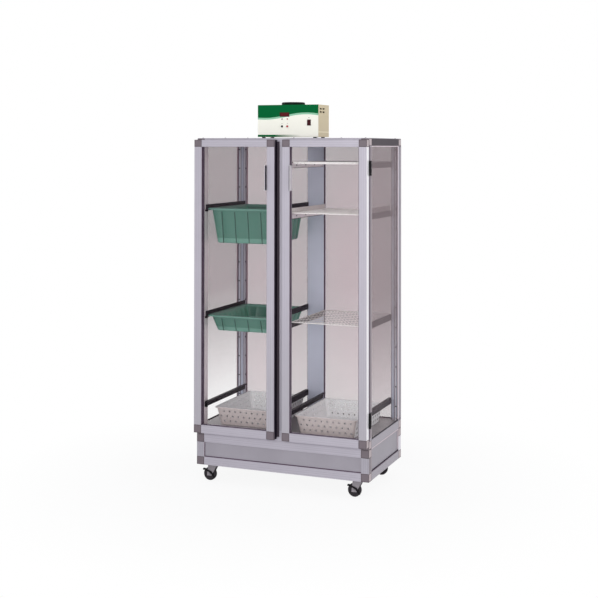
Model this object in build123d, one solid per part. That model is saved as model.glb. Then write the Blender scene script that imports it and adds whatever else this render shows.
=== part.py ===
from build123d import *
from math import radians, sin
import os

# Instrument drying cabinet on casters: two clear chambers over a base that holds the warm air unit.
# Origin: centre of the footprint on the floor. +X is the cabinet's right, -Y its front, +Z up. Millimetres.

# Overall sizes
WIDTH = 900.0
DEPTH = 512.0  # the carcass without its doors
CASTER_HEIGHT = 86.0
BASE_HEIGHT = 152.0
CABINET_HEIGHT = 1465.0
TOP_SHEET = 2.0

# Profiles and sheets
PROFILE = 40.0  # square section of posts, rails and corner blocks
TOP_RAIL = 35.0  # height of the uppermost rails and blocks, on carcass and doors
CENTRE_POST = 80.0
WALL = 2.5
EDGE = 1.5  # rounding of profile and block edges
PANE = 4.0
SHEET = 1.5
PANE_INSET = 5.0  # outer face of a wall behind the profile's face
SEAL = 4.0  # thickness of the strip that fills that step
SEAL_WIDE = 5.0
GROOVE = 8.0  # how far a wall's edge sits in its profile
PLAY = 0.3  # named clearance between pieces that fit
TENON = 18.0
HOLE_PITCH = 110.0
HOLE_R = 3.5
COLUMN_WIDE = 90.0
COLUMN_DEEP = 28.0
FLOOR_SLOTS = (4, 5)  # columns and rows of air slots in each chamber's floor
SLOT_SIZE = (56.0, 9.0)
SLOT_PITCH = (82.0, 70.0)
ROOF_SLOTS = (20, 2)
ROOF_SLOT_SIZE = (12.0, 44.0)
ROOF_SLOT_PITCH = (34.0, 60.0)
ROOF_SLOTS_BACK = 130.0  # their middle before the back face
ROOF_INSET = 1.0
FLOOR_FRONT = 2.0  # floor sheet behind the carcass's front face
FLOOR_PLAY = 1.0  # floor sheet to the walls
CUT = 1.0  # how far a cutter passes what it cuts

# Doors
DOOR_THICK = 32.0
DOOR_GAP = 3.0  # from the door's back to the carcass, filled by the gasket
DOOR_MEETING = 40.0  # open strip between the two doors
DOOR_TOP_DROP = 6.0
DOOR_FOOT = 12.0  # from the base's top to the door's lower edge
GASKET_INSET = 10.0
GASKET_WIDE = 8.0
PULL_WIDE = 6.0
PULL_LONG = 122.0
PULL_PROUD = 12.0
PULL_HEIGHT = 1512.0  # its middle above the floor
PULL_GAP = 1.0  # from the stile
STRIP_DEEP = 1.5  # bed of the dark strip on the pull's inner face
STRIP_EDGE = 0.8
CATCH_INSET = 90.0  # magnets from the door's ends
CATCH_LONG = 60.0
CATCH_PLAY = 1.0

# Hinges
HINGE_LONG = 70.0
HINGE_PLATE = 2.0
HINGE_LEAF = 32.0
HINGE_R = 5.0
HINGE_PIN_R = 2.5
HINGE_OFFSET = 6.0  # pin axis outside the side wall
HINGE_LEAF_BACK = 2.5  # leaf behind the carcass's front face
KNUCKLE_PLAY = 0.5
RUNNING = 0.05  # radial clearance of a turning fit
HINGE_HEIGHTS = (375.0, 1562.0)

# Tray rails: height of each pair's carrying face
RAIL_HIGH = 28.0
RAIL_SHEET = 3.0
RAIL_LEDGE = 16.0
BASKET_RAILS = (1350.0, 820.0)  # left chamber, baskets hang between the rails
LEFT_BARE_RAIL = 399.0
RACK_RAILS = (812.0, 389.0)  # right chamber, the upper of which carries a flat rack
SILVER_RAILS = (1587.0, 1339.0)  # right chamber, the first carries the hanging rack
CAP_LONG = 8.0
CAP_WIDE = 14.0
CAP_LOW = 9.0  # height of the cap under a basket's rim
RAIL_FRONT = 12.0  # behind the carcass's front face
RAIL_BACK_END = 26.0  # in front of the carcass's back face
REST = 0.3  # gap under a piece that slides on a rail

# Baskets and trays: rim size, depth and draw of the walls towards the bottom
BASKET_WALL = 2.5
RIM_THICK = 5.0
RIM_WIDE = 20.0
BASKET_SPREAD = 354.0  # over the rims
BASKET_LONG = 466.0
BASKET_FRONT = 12.0
DRAFT = 22.0
DEEP_BASKET = 172.0
SHALLOW_BASKET = 78.0
TRAY_SPREAD = 326.0
TRAY_RIM = 6.0
TRAY_DRAFT = 17.0
TRAY_HIGH = 88.0
TRAY_LONG = 430.0
LEFT_TRAY = (-212.0, 40.0)  # middle, and rim behind the carcass's front face
RIGHT_TRAY = (225.0, 12.0)
TRAY_HOLE_R = 4.0
TRAY_HOLES = 9
TRAY_SIDE_HOLES = 12
TRAY_ROWS = (0.22, 0.5, 0.78)
TRAY_SHIFT = 0.25  # of a pitch, each row the other way
CORNER_R = 18.0

# Racks
RACK_SPREAD = 356.0
WIRE = 5.0
RACK_EDGE = 9.0
RACK_COLUMNS = 11
RACK_ROWS = 14
RACK_HOLE_R = 9.0
RACK_HOLE_COLUMNS = 8
RACK_HOLE_ROWS = 6
RACK_SHEET = 3.0
RACK_FOLD = 8.0
RACK_FOLD_INSET = 11.0  # ends of the folds clear the ledges
RACK_UPSTAND = 26.0

# Control unit on the roof
UNIT_WIDE = 320.0
UNIT_DEEP = 150.0
UNIT_HIGH = 158.0
UNIT_FRONT = 86.0  # behind the carcass's front face
FOOT_HIGH = 6.0
FOOT_R = 9.0
FOOT_INSET = (24.0, 20.0)
FASCIA = 4.0
INTAKE_R = 58.0
INTAKE_HIGH = 14.0
INTAKE_EDGE = 4.0
VENT_SIZE = (26.0, 8.0)
VENT_AT = (38.0, 20.0)  # first vent behind the fascia and under the top
VENT_PITCH = (38.0, 16.0)
INLET_SIZE = (28.0, 24.0, 22.0)
INLET_HEIGHT = 30.0
INLET_WALL = 2.0
INLET_DEEP = 18.0
INLET_FLANGE = (6.0, 1.5, 3.0)
INLET_PINS = ((-7.0, -2.0), (0.0, 3.0), (7.0, -2.0))
PIN_SIZE = (2.0, 6.0)
DISPLAY_SIZE = (52.0, 22.0)
DISPLAY_AT = (-17.0, 110.0)  # from the unit's middle and from its underside
BUTTON_R = 5.0
BUTTON_HEIGHT = 52.0
BUTTON_XS = (-30.0, -2.0)
BUTTON_TRAVEL = 2.0
BUTTON_PROUD = 4.0
BUTTON_FOOT = (2.0, 4.0)  # wider by, and thickness
BUTTON_EDGE = 1.0
LENS_BACK = 1.0  # lens behind the fascia's face
MODULE_RIM = 3.0
ROCKER_SIZE = (18.0, 28.0)
ROCKER_AT = (112.0, 70.0)
ROCKER_TILT = 10.0
ROCKER_PIN_R = 2.0
ROCKER_PLAY = 1.0
ROCKER_PROUD = 3.0
ROCKER_PIVOT = 3.0  # pin behind the fascia
ROCKER_TRIM = (0.5, 2.0)  # rocker smaller than its size, each side
ROCKER_TAPER = 3.0
EAR_GAP = 1.3
EAR_THICK = 2.7
EAR_SIZE = (4.0, 5.0)  # past the pin, and half height
PIN_PAST = 3.5
BOARD = 1.6
BOARD_BEHIND = 18.0
BOARD_SIDES = (20.0, 90.0)
BOARD_ENDS = (25.0, 20.0)
BOARD_POST = 8.0
BOARD_POST_R = 3.0

# Warm air unit in the base
BLOWER_AT = (-190.0, 40.0)
BLOWER_R = 76.0
BLOWER_HIGH = 62.0
MOTOR_R = 32.0
MOTOR_HIGH = 30.0
SHAFT_R = 4.0
IMPELLER_GAP = 8.0
BLADES = 18
BLADE_SIZE = (12.0, 1.2)
BLADE_IN = 8.0
BLADE_TURN = 35.0
WHEEL_DISC = 2.0
WHEEL_RING = 14.0
HUB = (10.0, 14.0)  # radius and height
MOUTH_WIDE = 60.0
MOUTH_LONG = 40.0
EYE_SHARE = 0.55
SHAFT_HOLE_R = 8.0
SHAFT_FOOT = 6.0
HEATER_AT = (130.0, 40.0)
HEATER_LONG = 250.0
HEATER_SIDE = 70.0
FINS = 14
FIN_SIZE = (1.2, 64.0, 28.0)
HEATER_TUBE_R = 4.0
HEATER_TUBES = (-22.0, 0.0, 22.0)
HEATER_BRACKET = 2.0
HEATER_LIFT = 14.0
FILTER_WIDE = 340.0
FILTER_THICK = 14.0
FILTER_HIGH = 96.0
FILTER_EDGE = 3.0
LOUVRES = 9
LOUVRE_SIZE = (10.0, 58.0)
LOUVRE_PITCH = 34.0

# Casters
CASTER_INSET = (69.0, 50.0)  # swivel axis from the base's side and front or back
CASTER_TRAIL = 18.0
WHEEL_R = 32.5
WHEEL_WIDE = 22.0
CASTER_PLATE = (66.0, 66.0, 3.0)
PLATE_CORNER = 6.0
SWIVEL_R = 21.0
SWIVEL_HIGH = 7.0
FORK_SHEET = 3.0
FORK_PLAY = 2.0
AXLE_R = 5.0
KINGPIN_R = 6.0
KINGPIN_END = 2.0  # below the fork's bridge
FORK_REACH = (24.0, 22.0)  # bridge before and behind
CHEEK_FOOT = (12.0, 8.0)  # half width at the axle, and length below it
FORK_CORNER = 3.0
AXLE_END = 2.5
TREAD_ROUND = 5.0
DISH = (10.0, 2.0)  # rim width and depth of the dished face
BOSS = 6.0
BRAKE_PIVOT = (-7.0, 43.0)  # from the swivel axis and above the floor
BRAKE_PIN_R = 2.5
BRAKE_SHEET = 3.0
BRAKE_PEDAL = (-46.0, 58.0)
BRAKE_TAIL = (12.0, 16.0)
BRAKE_WIDE = 7.0
PEDAL = 10.0
PEDAL_EDGE = 1.0

# Heights and depths that follow from these
BASE_Z = CASTER_HEIGHT
CABINET_Z = BASE_Z + BASE_HEIGHT
FRAME_TOP = CABINET_Z + CABINET_HEIGHT
ROOF = FRAME_TOP + TOP_SHEET
FRONT = (PULL_PROUD + DOOR_THICK + DOOR_GAP - DEPTH) / 2
BACK = FRONT + DEPTH
HALF = WIDTH / 2
INNER = HALF - PROFILE  # inner face of a corner post
FLOOR_TOP = CABINET_Z + PROFILE + SHEET
DOOR_BACK = FRONT - DOOR_GAP
DOOR_FRONT = DOOR_BACK - DOOR_THICK
DOOR_Z0 = CABINET_Z + DOOR_FOOT
DOOR_Z1 = FRAME_TOP - DOOR_TOP_DROP
DOOR_EDGE = DOOR_MEETING / 2
HINGE_X = HALF + HINGE_OFFSET
HINGE_Y = FRONT - DOOR_GAP / 2
POST_X = CENTRE_POST / 2
COLUMN_Y = BACK - PROFILE
RACK_MIDDLE = (INNER + POST_X) / 2


def slab(x, y, z):
    """A box between two corners, given as a span on each axis."""
    (x0, x1), (y0, y1), (z0, z1) = x, y, z
    return Pos((x0 + x1) / 2, (y0 + y1) / 2, (z0 + z1) / 2) * Box(x1 - x0, y1 - y0, z1 - z0)


def grown(x, y, z, by):
    """The box of slab with every side moved out."""
    return slab(*((lo - by, hi + by) for lo, hi in (x, y, z)))


def rounded(shape, axis, radius=EDGE):
    """Rounds the edges that run along one axis."""
    return fillet(shape.edges().filter_by(axis), radius)


def tube(x, y, z, axis):
    """A hollow profile along one axis, with rounded long edges."""
    spans = [x, y, z]
    along = (Axis.X, Axis.Y, Axis.Z).index(axis)
    inner = [s if i == along else (s[0] + WALL, s[1] - WALL) for i, s in enumerate(spans)]
    return rounded(slab(*spans), axis) - slab(*inner)


def rod(radius, start, end):
    """A round bar between two points on one line along an axis."""
    a, b = Vector(*start), Vector(*end)
    plane = Plane(origin=(a + b) / 2, z_dir=b - a)
    return plane * Cylinder(radius, (b - a).length)


def flipped(shape):
    """The same piece on the cabinet's other side."""
    return mirror(shape, about=Plane.YZ)


def both(shape):
    """A piece with its mirror image."""
    return [shape, flipped(shape)]


def write(name, *solids):
    """Writes one node from separate solids."""
    flat = [s for shape in solids for s in shape.solids()]
    export_step(flat[0] if len(flat) == 1 else Compound(children=flat), f"parts/{name}.step")


# Walls as spans, so that profiles can be grooved for them
SIDE_WALL = (
    (HALF - PANE_INSET - PANE, HALF - PANE_INSET),
    (FRONT + PROFILE - GROOVE, BACK - PROFILE + GROOVE),
    (CABINET_Z + PROFILE - GROOVE, FRAME_TOP - TOP_RAIL + GROOVE),
)
BACK_WALL = (
    (-INNER - GROOVE, INNER + GROOVE),
    (BACK - PANE_INSET - PANE, BACK - PANE_INSET),
    SIDE_WALL[2],
)
BASE_SIDE = (
    (HALF - PANE_INSET - SHEET, HALF - PANE_INSET),
    SIDE_WALL[1],
    (BASE_Z + PROFILE - GROOVE, CABINET_Z - PLAY),
)
BASE_FRONT = (
    (-INNER - GROOVE, INNER + GROOVE),
    (FRONT + PANE_INSET, FRONT + PANE_INSET + SHEET),
    (BASE_Z + PROFILE - GROOVE, CABINET_Z - PROFILE + GROOVE),
)
BASE_BACK = (BASE_FRONT[0], (BACK - PANE_INSET - SHEET, BACK - PANE_INSET), BASE_FRONT[2])


def groove(wall):
    """The slot that a wall's edge sits in."""
    return grown(*wall, PLAY)


def trim(piece, cuts):
    """A profile with the grooves that cross it."""
    box = piece.bounding_box()
    for cut in cuts:
        other = cut.bounding_box()
        sides = ("X", "Y", "Z")
        apart = [getattr(box.max, a) <= getattr(other.min, a) for a in sides]
        apart += [getattr(other.max, a) <= getattr(box.min, a) for a in sides]
        if not any(apart):
            piece = piece - cut
    return piece


def narrowed(span):
    """The span of a tenon inside a profile that has this span."""
    return (span[0] + WALL + PLAY, span[1] - WALL - PLAY)


def beyond(span, way):
    """The span of a tenon that leaves a block's span upwards (1) or downwards (-1)."""
    return (span[1], span[1] + TENON) if way > 0 else (span[0] - TENON, span[0])


def corner_block(x, y, z, ways, rail_x=None):
    """A moulded corner joint, with a tenon along each axis that has a way of 1 or -1."""
    block = fillet(slab(x, y, z).edges(), EDGE)
    along_x, along_y, along_z = ways
    if along_x:
        block += slab(beyond(x, along_x), narrowed(y), narrowed(z))
    if along_y:
        block += slab(narrowed(rail_x or x), beyond(y, along_y), narrowed(z))
    if along_z:
        block += slab(narrowed(x), narrowed(y), beyond(z, along_z))
    return block


def box_frame(z0, z1, top_rail_x, top_high):
    """Posts, rails, upper side rails and corner blocks of one storey."""
    posts, rails, side_tops, blocks = [], [], [], []
    wide = (INNER, HALF)
    rise = (z0 + PROFILE, z1 - top_high)
    for y in ((FRONT, FRONT + PROFILE), (BACK - PROFILE, BACK)):
        inwards = 1 if y[0] == FRONT else -1
        posts += both(tube(wide, y, rise, Axis.Z))
        for z in ((z0, z0 + PROFILE), (z1 - top_high, z1)):
            at_top = z[1] == z1
            rails.append(tube((-INNER, INNER), y, z, Axis.X))
            ways = (-1, inwards, -1 if at_top else 1)
            blocks += both(corner_block(wide, y, z, ways, top_rail_x if at_top else wide))
    span = (FRONT + PROFILE, BACK - PROFILE)
    rails += both(tube(wide, span, (z0, z0 + PROFILE), Axis.Y))
    side_tops += both(tube(top_rail_x, span, (z1 - top_high, z1), Axis.Y))
    return posts, rails, side_tops, blocks


def base_frame():
    """The base's frame and corner blocks. Its upper side rails stand behind the side panels."""
    behind = (INNER, BASE_SIDE[0][0] - PLAY)
    posts, rails, side_tops, blocks = box_frame(BASE_Z, CABINET_Z, behind, PROFILE)
    cuts = [groove(BASE_FRONT), groove(BASE_BACK), *both(groove(BASE_SIDE))]
    return [trim(p, cuts) for p in posts + rails + side_tops], [trim(p, cuts) for p in blocks]


def post_holes():
    """The row of holes in each back post's front face."""
    count = int((CABINET_HEIGHT - 2 * PROFILE) / HOLE_PITCH)
    heights = [CABINET_Z + PROFILE + HOLE_PITCH * i for i in range(1, count + 1)]
    x = (INNER + HALF) / 2
    y = BACK - PROFILE
    return [hole for z in heights for hole in both(rod(HOLE_R, (x, y - CUT, z), (x, y + WALL + CUT, z)))]


def cabinet_frame():
    """The cabinet's frame, dark upper side rails and corner blocks, with the centre post."""
    posts, rails, side_tops, blocks = box_frame(CABINET_Z, FRAME_TOP, (INNER, HALF), TOP_RAIL)
    holes = post_holes()
    posts = [p - holes if p.center().Y > 0 else p for p in posts]
    rise = (CABINET_Z + PROFILE, FRAME_TOP - TOP_RAIL)
    posts.append(tube((-POST_X, POST_X), (FRONT, FRONT + PROFILE), rise, Axis.Z))
    cuts = [groove(BACK_WALL), *both(groove(SIDE_WALL))]
    return [[trim(p, cuts) for p in group] for group in (posts + rails, side_tops, blocks)]


def centre_column():
    """The hollow sheet column in the middle of the back, from floor to top rail."""
    y = (COLUMN_Y, COLUMN_Y + COLUMN_DEEP)
    x = (-COLUMN_WIDE / 2, COLUMN_WIDE / 2)
    return tube(x, y, (FLOOR_TOP, FRAME_TOP - TOP_RAIL), Axis.Z)


def chamber_floor():
    """The chambers' floor sheet on the lower rails, with air slots."""
    z = (FLOOR_TOP - SHEET, FLOOR_TOP)
    reach_x = SIDE_WALL[0][0] - FLOOR_PLAY
    back = BACK_WALL[1][0] - FLOOR_PLAY
    floor = slab((-reach_x, reach_x), (FRONT + FLOOR_FRONT, back), z)
    tall = (z[0] - CUT, z[1] + CUT)
    for y in ((FRONT, FRONT + PROFILE + PLAY), (BACK - PROFILE - PLAY, BACK)):
        floor -= both(slab((INNER - PLAY, HALF), y, tall))
    floor -= slab((-POST_X - PLAY, POST_X + PLAY), (FRONT, FRONT + PROFILE + PLAY), tall)
    for side in (-1, 1):
        middle = Pos(side * RACK_MIDDLE, (FRONT + BACK) / 2, z[0])
        for place in GridLocations(*SLOT_PITCH, *FLOOR_SLOTS):
            floor -= middle * place * Box(*SLOT_SIZE, 4 * SHEET)
    return floor


def roof_sheet():
    """The roof, with slots at the back that let the damp air out."""
    x = (-HALF + ROOF_INSET, HALF - ROOF_INSET)
    roof = slab(x, (FRONT + ROOF_INSET, BACK - ROOF_INSET), (FRAME_TOP, ROOF))
    roof = rounded(roof, Axis.Z)
    for place in Pos(0, BACK - ROOF_SLOTS_BACK, FRAME_TOP) * GridLocations(*ROOF_SLOT_PITCH, *ROOF_SLOTS):
        roof -= place * Box(*ROOF_SLOT_SIZE, 4 * TOP_SHEET)
    return roof


def seal_ring(x, y, z, width):
    """A rubber frame; x, y and z are its outer spans, the thin one its thickness."""
    inner = [(a - CUT, b + CUT) if b - a < width else (a + width, b - width) for a, b in (x, y, z)]
    return slab(x, y, z) - slab(*inner)


def wall_gaskets():
    """Black strips that seal the walls against the profiles, outside the pane."""
    outside = (HALF - PANE_INSET, HALF - PANE_INSET + SEAL)
    depth = (FRONT + PROFILE, BACK - PROFILE)
    rise = (CABINET_Z + PROFILE, FRAME_TOP - TOP_RAIL)
    side = seal_ring(outside, depth, rise, SEAL_WIDE)
    base = seal_ring(outside, depth, (BASE_Z + PROFILE, CABINET_Z - PLAY), SEAL_WIDE)
    behind = (BACK - PANE_INSET, BACK - PANE_INSET + SEAL)
    return [*both(side), *both(base), seal_ring((-INNER, INNER), behind, rise, SEAL_WIDE)]


def rail(carry, wall, inward, cradle, back):
    """An angle rail on a face at x = wall, with its ledge's top at one height."""
    low = carry - RAIL_SHEET if cradle else carry - RAIL_HIGH
    y = (FRONT + RAIL_FRONT, back)
    leaf = slab(sorted((wall, wall + inward * RAIL_SHEET)), y, (low, low + RAIL_HIGH))
    ledge = sorted((wall, wall + inward * RAIL_LEDGE))
    return leaf + slab(ledge, y, (carry - RAIL_SHEET, carry))


def rail_cap(carry, wall, inward, cradle):
    """The plastic cap on a rail's front end, low where a basket's rim passes over it."""
    high = CAP_LOW if cradle else RAIL_HIGH
    x = sorted((wall, wall + inward * CAP_WIDE))
    start = FRONT + RAIL_FRONT
    return rounded(slab(x, (start - CAP_LONG, start), (carry - high, carry)), Axis.Y)


def rail_pair(carry, side, cradle):
    """Both rails of one level in the left (-1) or right (1) chamber."""
    outer = (carry, side * INNER, -side, cradle, BACK - RAIL_BACK_END)
    inner = (carry, side * POST_X, side, cradle, COLUMN_Y - PLAY)
    return [outer, inner]


def black_rails():
    """What describes each black rail."""
    places = [p for z in BASKET_RAILS for p in rail_pair(z, -1, True)]
    places += rail_pair(LEFT_BARE_RAIL, -1, False)
    return places + [p for z in RACK_RAILS for p in rail_pair(z, 1, False)]


def silver_rails():
    """What describes each silver rail."""
    return [p for z in SILVER_RAILS for p in rail_pair(z, 1, False)]


# Doors, drawn for the right-hand side
DOOR_X = (DOOR_EDGE, HALF)
WINDOW_X = (DOOR_EDGE + PROFILE, INNER)
WINDOW_Z = (DOOR_Z0 + PROFILE, DOOR_Z1 - TOP_RAIL)
PANE_Y = ((DOOR_BACK + DOOR_FRONT - PANE) / 2, (DOOR_BACK + DOOR_FRONT + PANE) / 2)
DOOR_PANE = (
    (WINDOW_X[0] - GROOVE, WINDOW_X[1] + GROOVE),
    PANE_Y,
    (WINDOW_Z[0] - GROOVE, WINDOW_Z[1] + GROOVE),
)


def door_frame():
    """Stiles, rails and corner blocks of the right-hand door."""
    y = (DOOR_FRONT, DOOR_BACK)
    profiles, blocks = [], []
    for x in ((DOOR_X[0], WINDOW_X[0]), (WINDOW_X[1], DOOR_X[1])):
        profiles.append(tube(x, y, WINDOW_Z, Axis.Z))
        for z in ((DOOR_Z0, WINDOW_Z[0]), (WINDOW_Z[1], DOOR_Z1)):
            ways = (1 if x[0] == DOOR_X[0] else -1, 0, 1 if z[0] == DOOR_Z0 else -1)
            blocks.append(corner_block(x, y, z, ways))
    for z in ((DOOR_Z0, WINDOW_Z[0]), (WINDOW_Z[1], DOOR_Z1)):
        profiles.append(tube(WINDOW_X, y, z, Axis.X))
    cut = [groove(DOOR_PANE)]
    return [[trim(piece, cut) for piece in group] for group in (profiles, blocks)]


def door_gasket():
    """The seal on the door's back, just clear of the carcass."""
    x = (DOOR_X[0] + GASKET_INSET, DOOR_X[1] - GASKET_INSET)
    z = (DOOR_Z0 + GASKET_INSET, DOOR_Z1 - GASKET_INSET)
    return seal_ring(x, (DOOR_BACK, FRONT - PLAY), z, GASKET_WIDE)


def door_pull():
    """A narrow finger pull beside the meeting stile, with the bed of a dark strip towards the stile."""
    x = (WINDOW_X[0] + PULL_GAP, WINDOW_X[0] + PULL_GAP + PULL_WIDE)
    z = (PULL_HEIGHT - PULL_LONG / 2, PULL_HEIGHT + PULL_LONG / 2)
    front = DOOR_FRONT - PULL_PROUD
    pull = rounded(slab(x, (front, PANE_Y[0]), z), Axis.Z, STRIP_EDGE)
    bed_z = (z[0] + STRIP_EDGE, z[1] - STRIP_EDGE)
    return pull - slab((x[0] - CUT, x[0] + STRIP_DEEP), (front + STRIP_EDGE, DOOR_FRONT), bed_z)


def hinge_knuckles(z_mid):
    """Heights at which a hinge's three knuckles meet."""
    third = HINGE_LONG / 3
    return (z_mid - third * 1.5, z_mid - third / 2, z_mid + third / 2, z_mid + third * 1.5)


def frame_leaf(z_mid):
    """The hinge leaf on the cabinet's side, with the middle knuckle and the pin."""
    z0, z1, z2, z3 = hinge_knuckles(z_mid)
    leaf_y = (FRONT + HINGE_LEAF_BACK, FRONT + HINGE_LEAF_BACK + HINGE_LEAF)
    middle = (z1 + PLAY, z2 - PLAY)
    leaf = slab((HALF, HALF + HINGE_PLATE), leaf_y, (z0, z3))
    leaf += slab((HALF, HINGE_X), (FRONT + PLAY, leaf_y[0] + HINGE_PLATE), middle)
    leaf += rod(HINGE_R, (HINGE_X, HINGE_Y, middle[0]), (HINGE_X, HINGE_Y, middle[1]))
    return leaf + rod(HINGE_PIN_R, (HINGE_X, HINGE_Y, z0), (HINGE_X, HINGE_Y, z3))


def door_leaf(z_mid):
    """The hinge leaf behind the door's stile, with the outer knuckles."""
    z0, z1, z2, z3 = hinge_knuckles(z_mid)
    plate_y = (DOOR_BACK, DOOR_BACK + HINGE_PLATE)
    leaf = slab((HALF - GASKET_INSET + CATCH_PLAY, HINGE_X), plate_y, (z0, z3))
    leaf -= slab((HINGE_X - HINGE_R - KNUCKLE_PLAY, HINGE_X + CUT), (DOOR_BACK - CUT, FRONT), (z1, z2))
    for low, high in ((z0, z1 - PLAY), (z2 + PLAY, z3)):
        leaf += rod(HINGE_R, (HINGE_X, HINGE_Y, low), (HINGE_X, HINGE_Y, high))
    bore = rod(HINGE_PIN_R + RUNNING, (HINGE_X, HINGE_Y, z0 - CUT), (HINGE_X, HINGE_Y, z3 + CUT))
    return leaf - bore


def door_catches():
    """Magnet strips on the centre post, two behind each door's meeting stile."""
    x = (DOOR_EDGE + CATCH_PLAY, DOOR_EDGE + GASKET_INSET - CATCH_PLAY)
    return [
        piece
        for z in (DOOR_Z0 + CATCH_INSET, DOOR_Z1 - CATCH_INSET)
        for piece in both(slab(x, (DOOR_BACK + PLAY, FRONT), (z - CATCH_LONG / 2, z + CATCH_LONG / 2)))
    ]


# Baskets, trays and racks
def tub(x, y, z, rim_z, draft, rim):
    """An open tapered basket: x and y span its body's mouth, and rim is the lip's width."""
    wide, long, high = x[1] - x[0], y[1] - y[0], rim_z - z
    middle = Pos((x[0] + x[1]) / 2, (y[0] + y[1]) / 2, 0)
    shells = []
    for inset, low in ((0.0, 0.0), (BASKET_WALL, BASKET_WALL)):
        foot = Pos(0, 0, z + low) * RectangleRounded(
            wide - 2 * draft - 2 * inset, long - 2 * draft - 2 * inset, CORNER_R - inset
        )
        mouth = Pos(0, 0, rim_z) * RectangleRounded(wide - 2 * inset, long - 2 * inset, CORNER_R - inset)
        shells.append(loft([foot.face(), mouth.face()]))
    body = shells[0] - shells[1]
    lip = RectangleRounded(wide + 2 * rim, long + 2 * rim, CORNER_R)
    lip -= RectangleRounded(wide - 2 * BASKET_WALL, long - 2 * BASKET_WALL, CORNER_R - BASKET_WALL)
    return middle * (body + Pos(0, 0, rim_z - RIM_THICK) * extrude(lip, RIM_THICK))


def hung_basket(carry, high):
    """A basket that hangs by its rim from a pair of rails in the left chamber."""
    half = BASKET_SPREAD / 2 - RIM_WIDE
    start = FRONT + BASKET_FRONT + RIM_WIDE
    y = (start, start + BASKET_LONG - 2 * RIM_WIDE)
    top = carry + REST + RIM_THICK
    return tub((-RACK_MIDDLE - half, -RACK_MIDDLE + half), y, top - high, top, DRAFT, RIM_WIDE)


def floor_tray(middle, front):
    """A perforated tray that stands on the chamber floor."""
    half = TRAY_SPREAD / 2 - TRAY_RIM
    x = (middle - half, middle + half)
    y = (FRONT + front + TRAY_RIM, FRONT + front + TRAY_LONG - TRAY_RIM)
    z = FLOOR_TOP + REST
    tray = tub(x, y, z, z + TRAY_HIGH, TRAY_DRAFT, TRAY_RIM)
    cuts = []
    for row, share in enumerate(TRAY_ROWS):
        height = z + TRAY_HIGH * share
        shift = TRAY_SHIFT * (-1) ** row
        for axis_span, count, ends in ((x, TRAY_HOLES, y), (y, TRAY_SIDE_HOLES, x)):
            pitch = (axis_span[1] - axis_span[0] - 2 * DRAFT) / count
            mid = (axis_span[0] + axis_span[1]) / 2
            for i in range(count):
                at = mid + (i - (count - 1) / 2 + shift) * pitch
                lo, hi = ends[0] - TRAY_RIM, ends[1] + TRAY_RIM
                points = ((at, lo, height), (at, hi, height))
                if axis_span is y:
                    points = ((lo, at, height), (hi, at, height))
                cuts.append(rod(TRAY_HOLE_R, *points))
    return tray - cuts


def rack_box():
    """Spans across and along of a rack in the right chamber."""
    half = RACK_SPREAD / 2
    start = FRONT + BASKET_FRONT
    return (RACK_MIDDLE - half, RACK_MIDDLE + half), (start, start + BASKET_LONG)


def net_rack(carry, upstand):
    """A coated wire grid on a pair of rails, with low walls at its sides if it has an upstand."""
    z = carry + REST
    x, y = rack_box()
    pitch_x = (RACK_SPREAD - 2 * RACK_EDGE + WIRE) / RACK_COLUMNS
    pitch_y = (BASKET_LONG - 2 * RACK_EDGE + WIRE) / RACK_ROWS
    grid = GridLocations(pitch_x, pitch_y, RACK_COLUMNS, RACK_ROWS)
    sheet = Rectangle(RACK_SPREAD, BASKET_LONG) - grid * Rectangle(pitch_x - WIRE, pitch_y - WIRE)
    rack = Pos(RACK_MIDDLE, (y[0] + y[1]) / 2, z) * extrude(sheet, WIRE)
    if upstand:
        for span in ((x[0], x[0] + RACK_SHEET), (x[1] - RACK_SHEET, x[1])):
            rack += slab(span, y, (z, z + upstand))
    return rack


def hanging_rack(carry):
    """The top rack: a sheet with holes that pipettes hang in, folded down at its front and back."""
    z = carry + REST
    x, y = rack_box()
    plate = slab(x, y, (z, z + RACK_SHEET))
    pitch = ((x[1] - x[0]) / (RACK_HOLE_COLUMNS + 1), (y[1] - y[0]) / (RACK_HOLE_ROWS + 1))
    middle = Pos(RACK_MIDDLE, (y[0] + y[1]) / 2, z)
    for place in GridLocations(*pitch, RACK_HOLE_COLUMNS, RACK_HOLE_ROWS):
        plate -= middle * place * Cylinder(RACK_HOLE_R, 4 * RACK_SHEET)
    across = (x[0] + RACK_FOLD_INSET, x[1] - RACK_FOLD_INSET)
    for span in ((y[0], y[0] + RACK_SHEET), (y[1] - RACK_SHEET, y[1])):
        plate += slab(across, span, (z - RACK_FOLD, z))
    return plate


# Control unit
UNIT_Y = (FRONT + UNIT_FRONT, FRONT + UNIT_FRONT + UNIT_DEEP)
UNIT_Z = (ROOF + FOOT_HIGH, ROOF + FOOT_HIGH + UNIT_HIGH)
UNIT_X = (-UNIT_WIDE / 2, UNIT_WIDE / 2)


def unit_tray():
    """The unit's bottom sheet with its upturned back, which holds the mains inlet."""
    back_y = (UNIT_Y[1] - SHEET, UNIT_Y[1])
    tray = slab(UNIT_X, (UNIT_Y[0] + FASCIA, UNIT_Y[1]), (UNIT_Z[0], UNIT_Z[0] + SHEET))
    tray += slab(UNIT_X, back_y, (UNIT_Z[0], UNIT_Z[1] - SHEET))
    return tray - slab(INLET[0], (back_y[0] - CUT, back_y[1] + CUT), INLET[2])


INLET = (
    (-INLET_SIZE[0] / 2, INLET_SIZE[0] / 2),
    (UNIT_Y[1] - INLET_SIZE[1], UNIT_Y[1]),
    (UNIT_Z[0] + INLET_HEIGHT, UNIT_Z[0] + INLET_HEIGHT + INLET_SIZE[2]),
)


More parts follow.
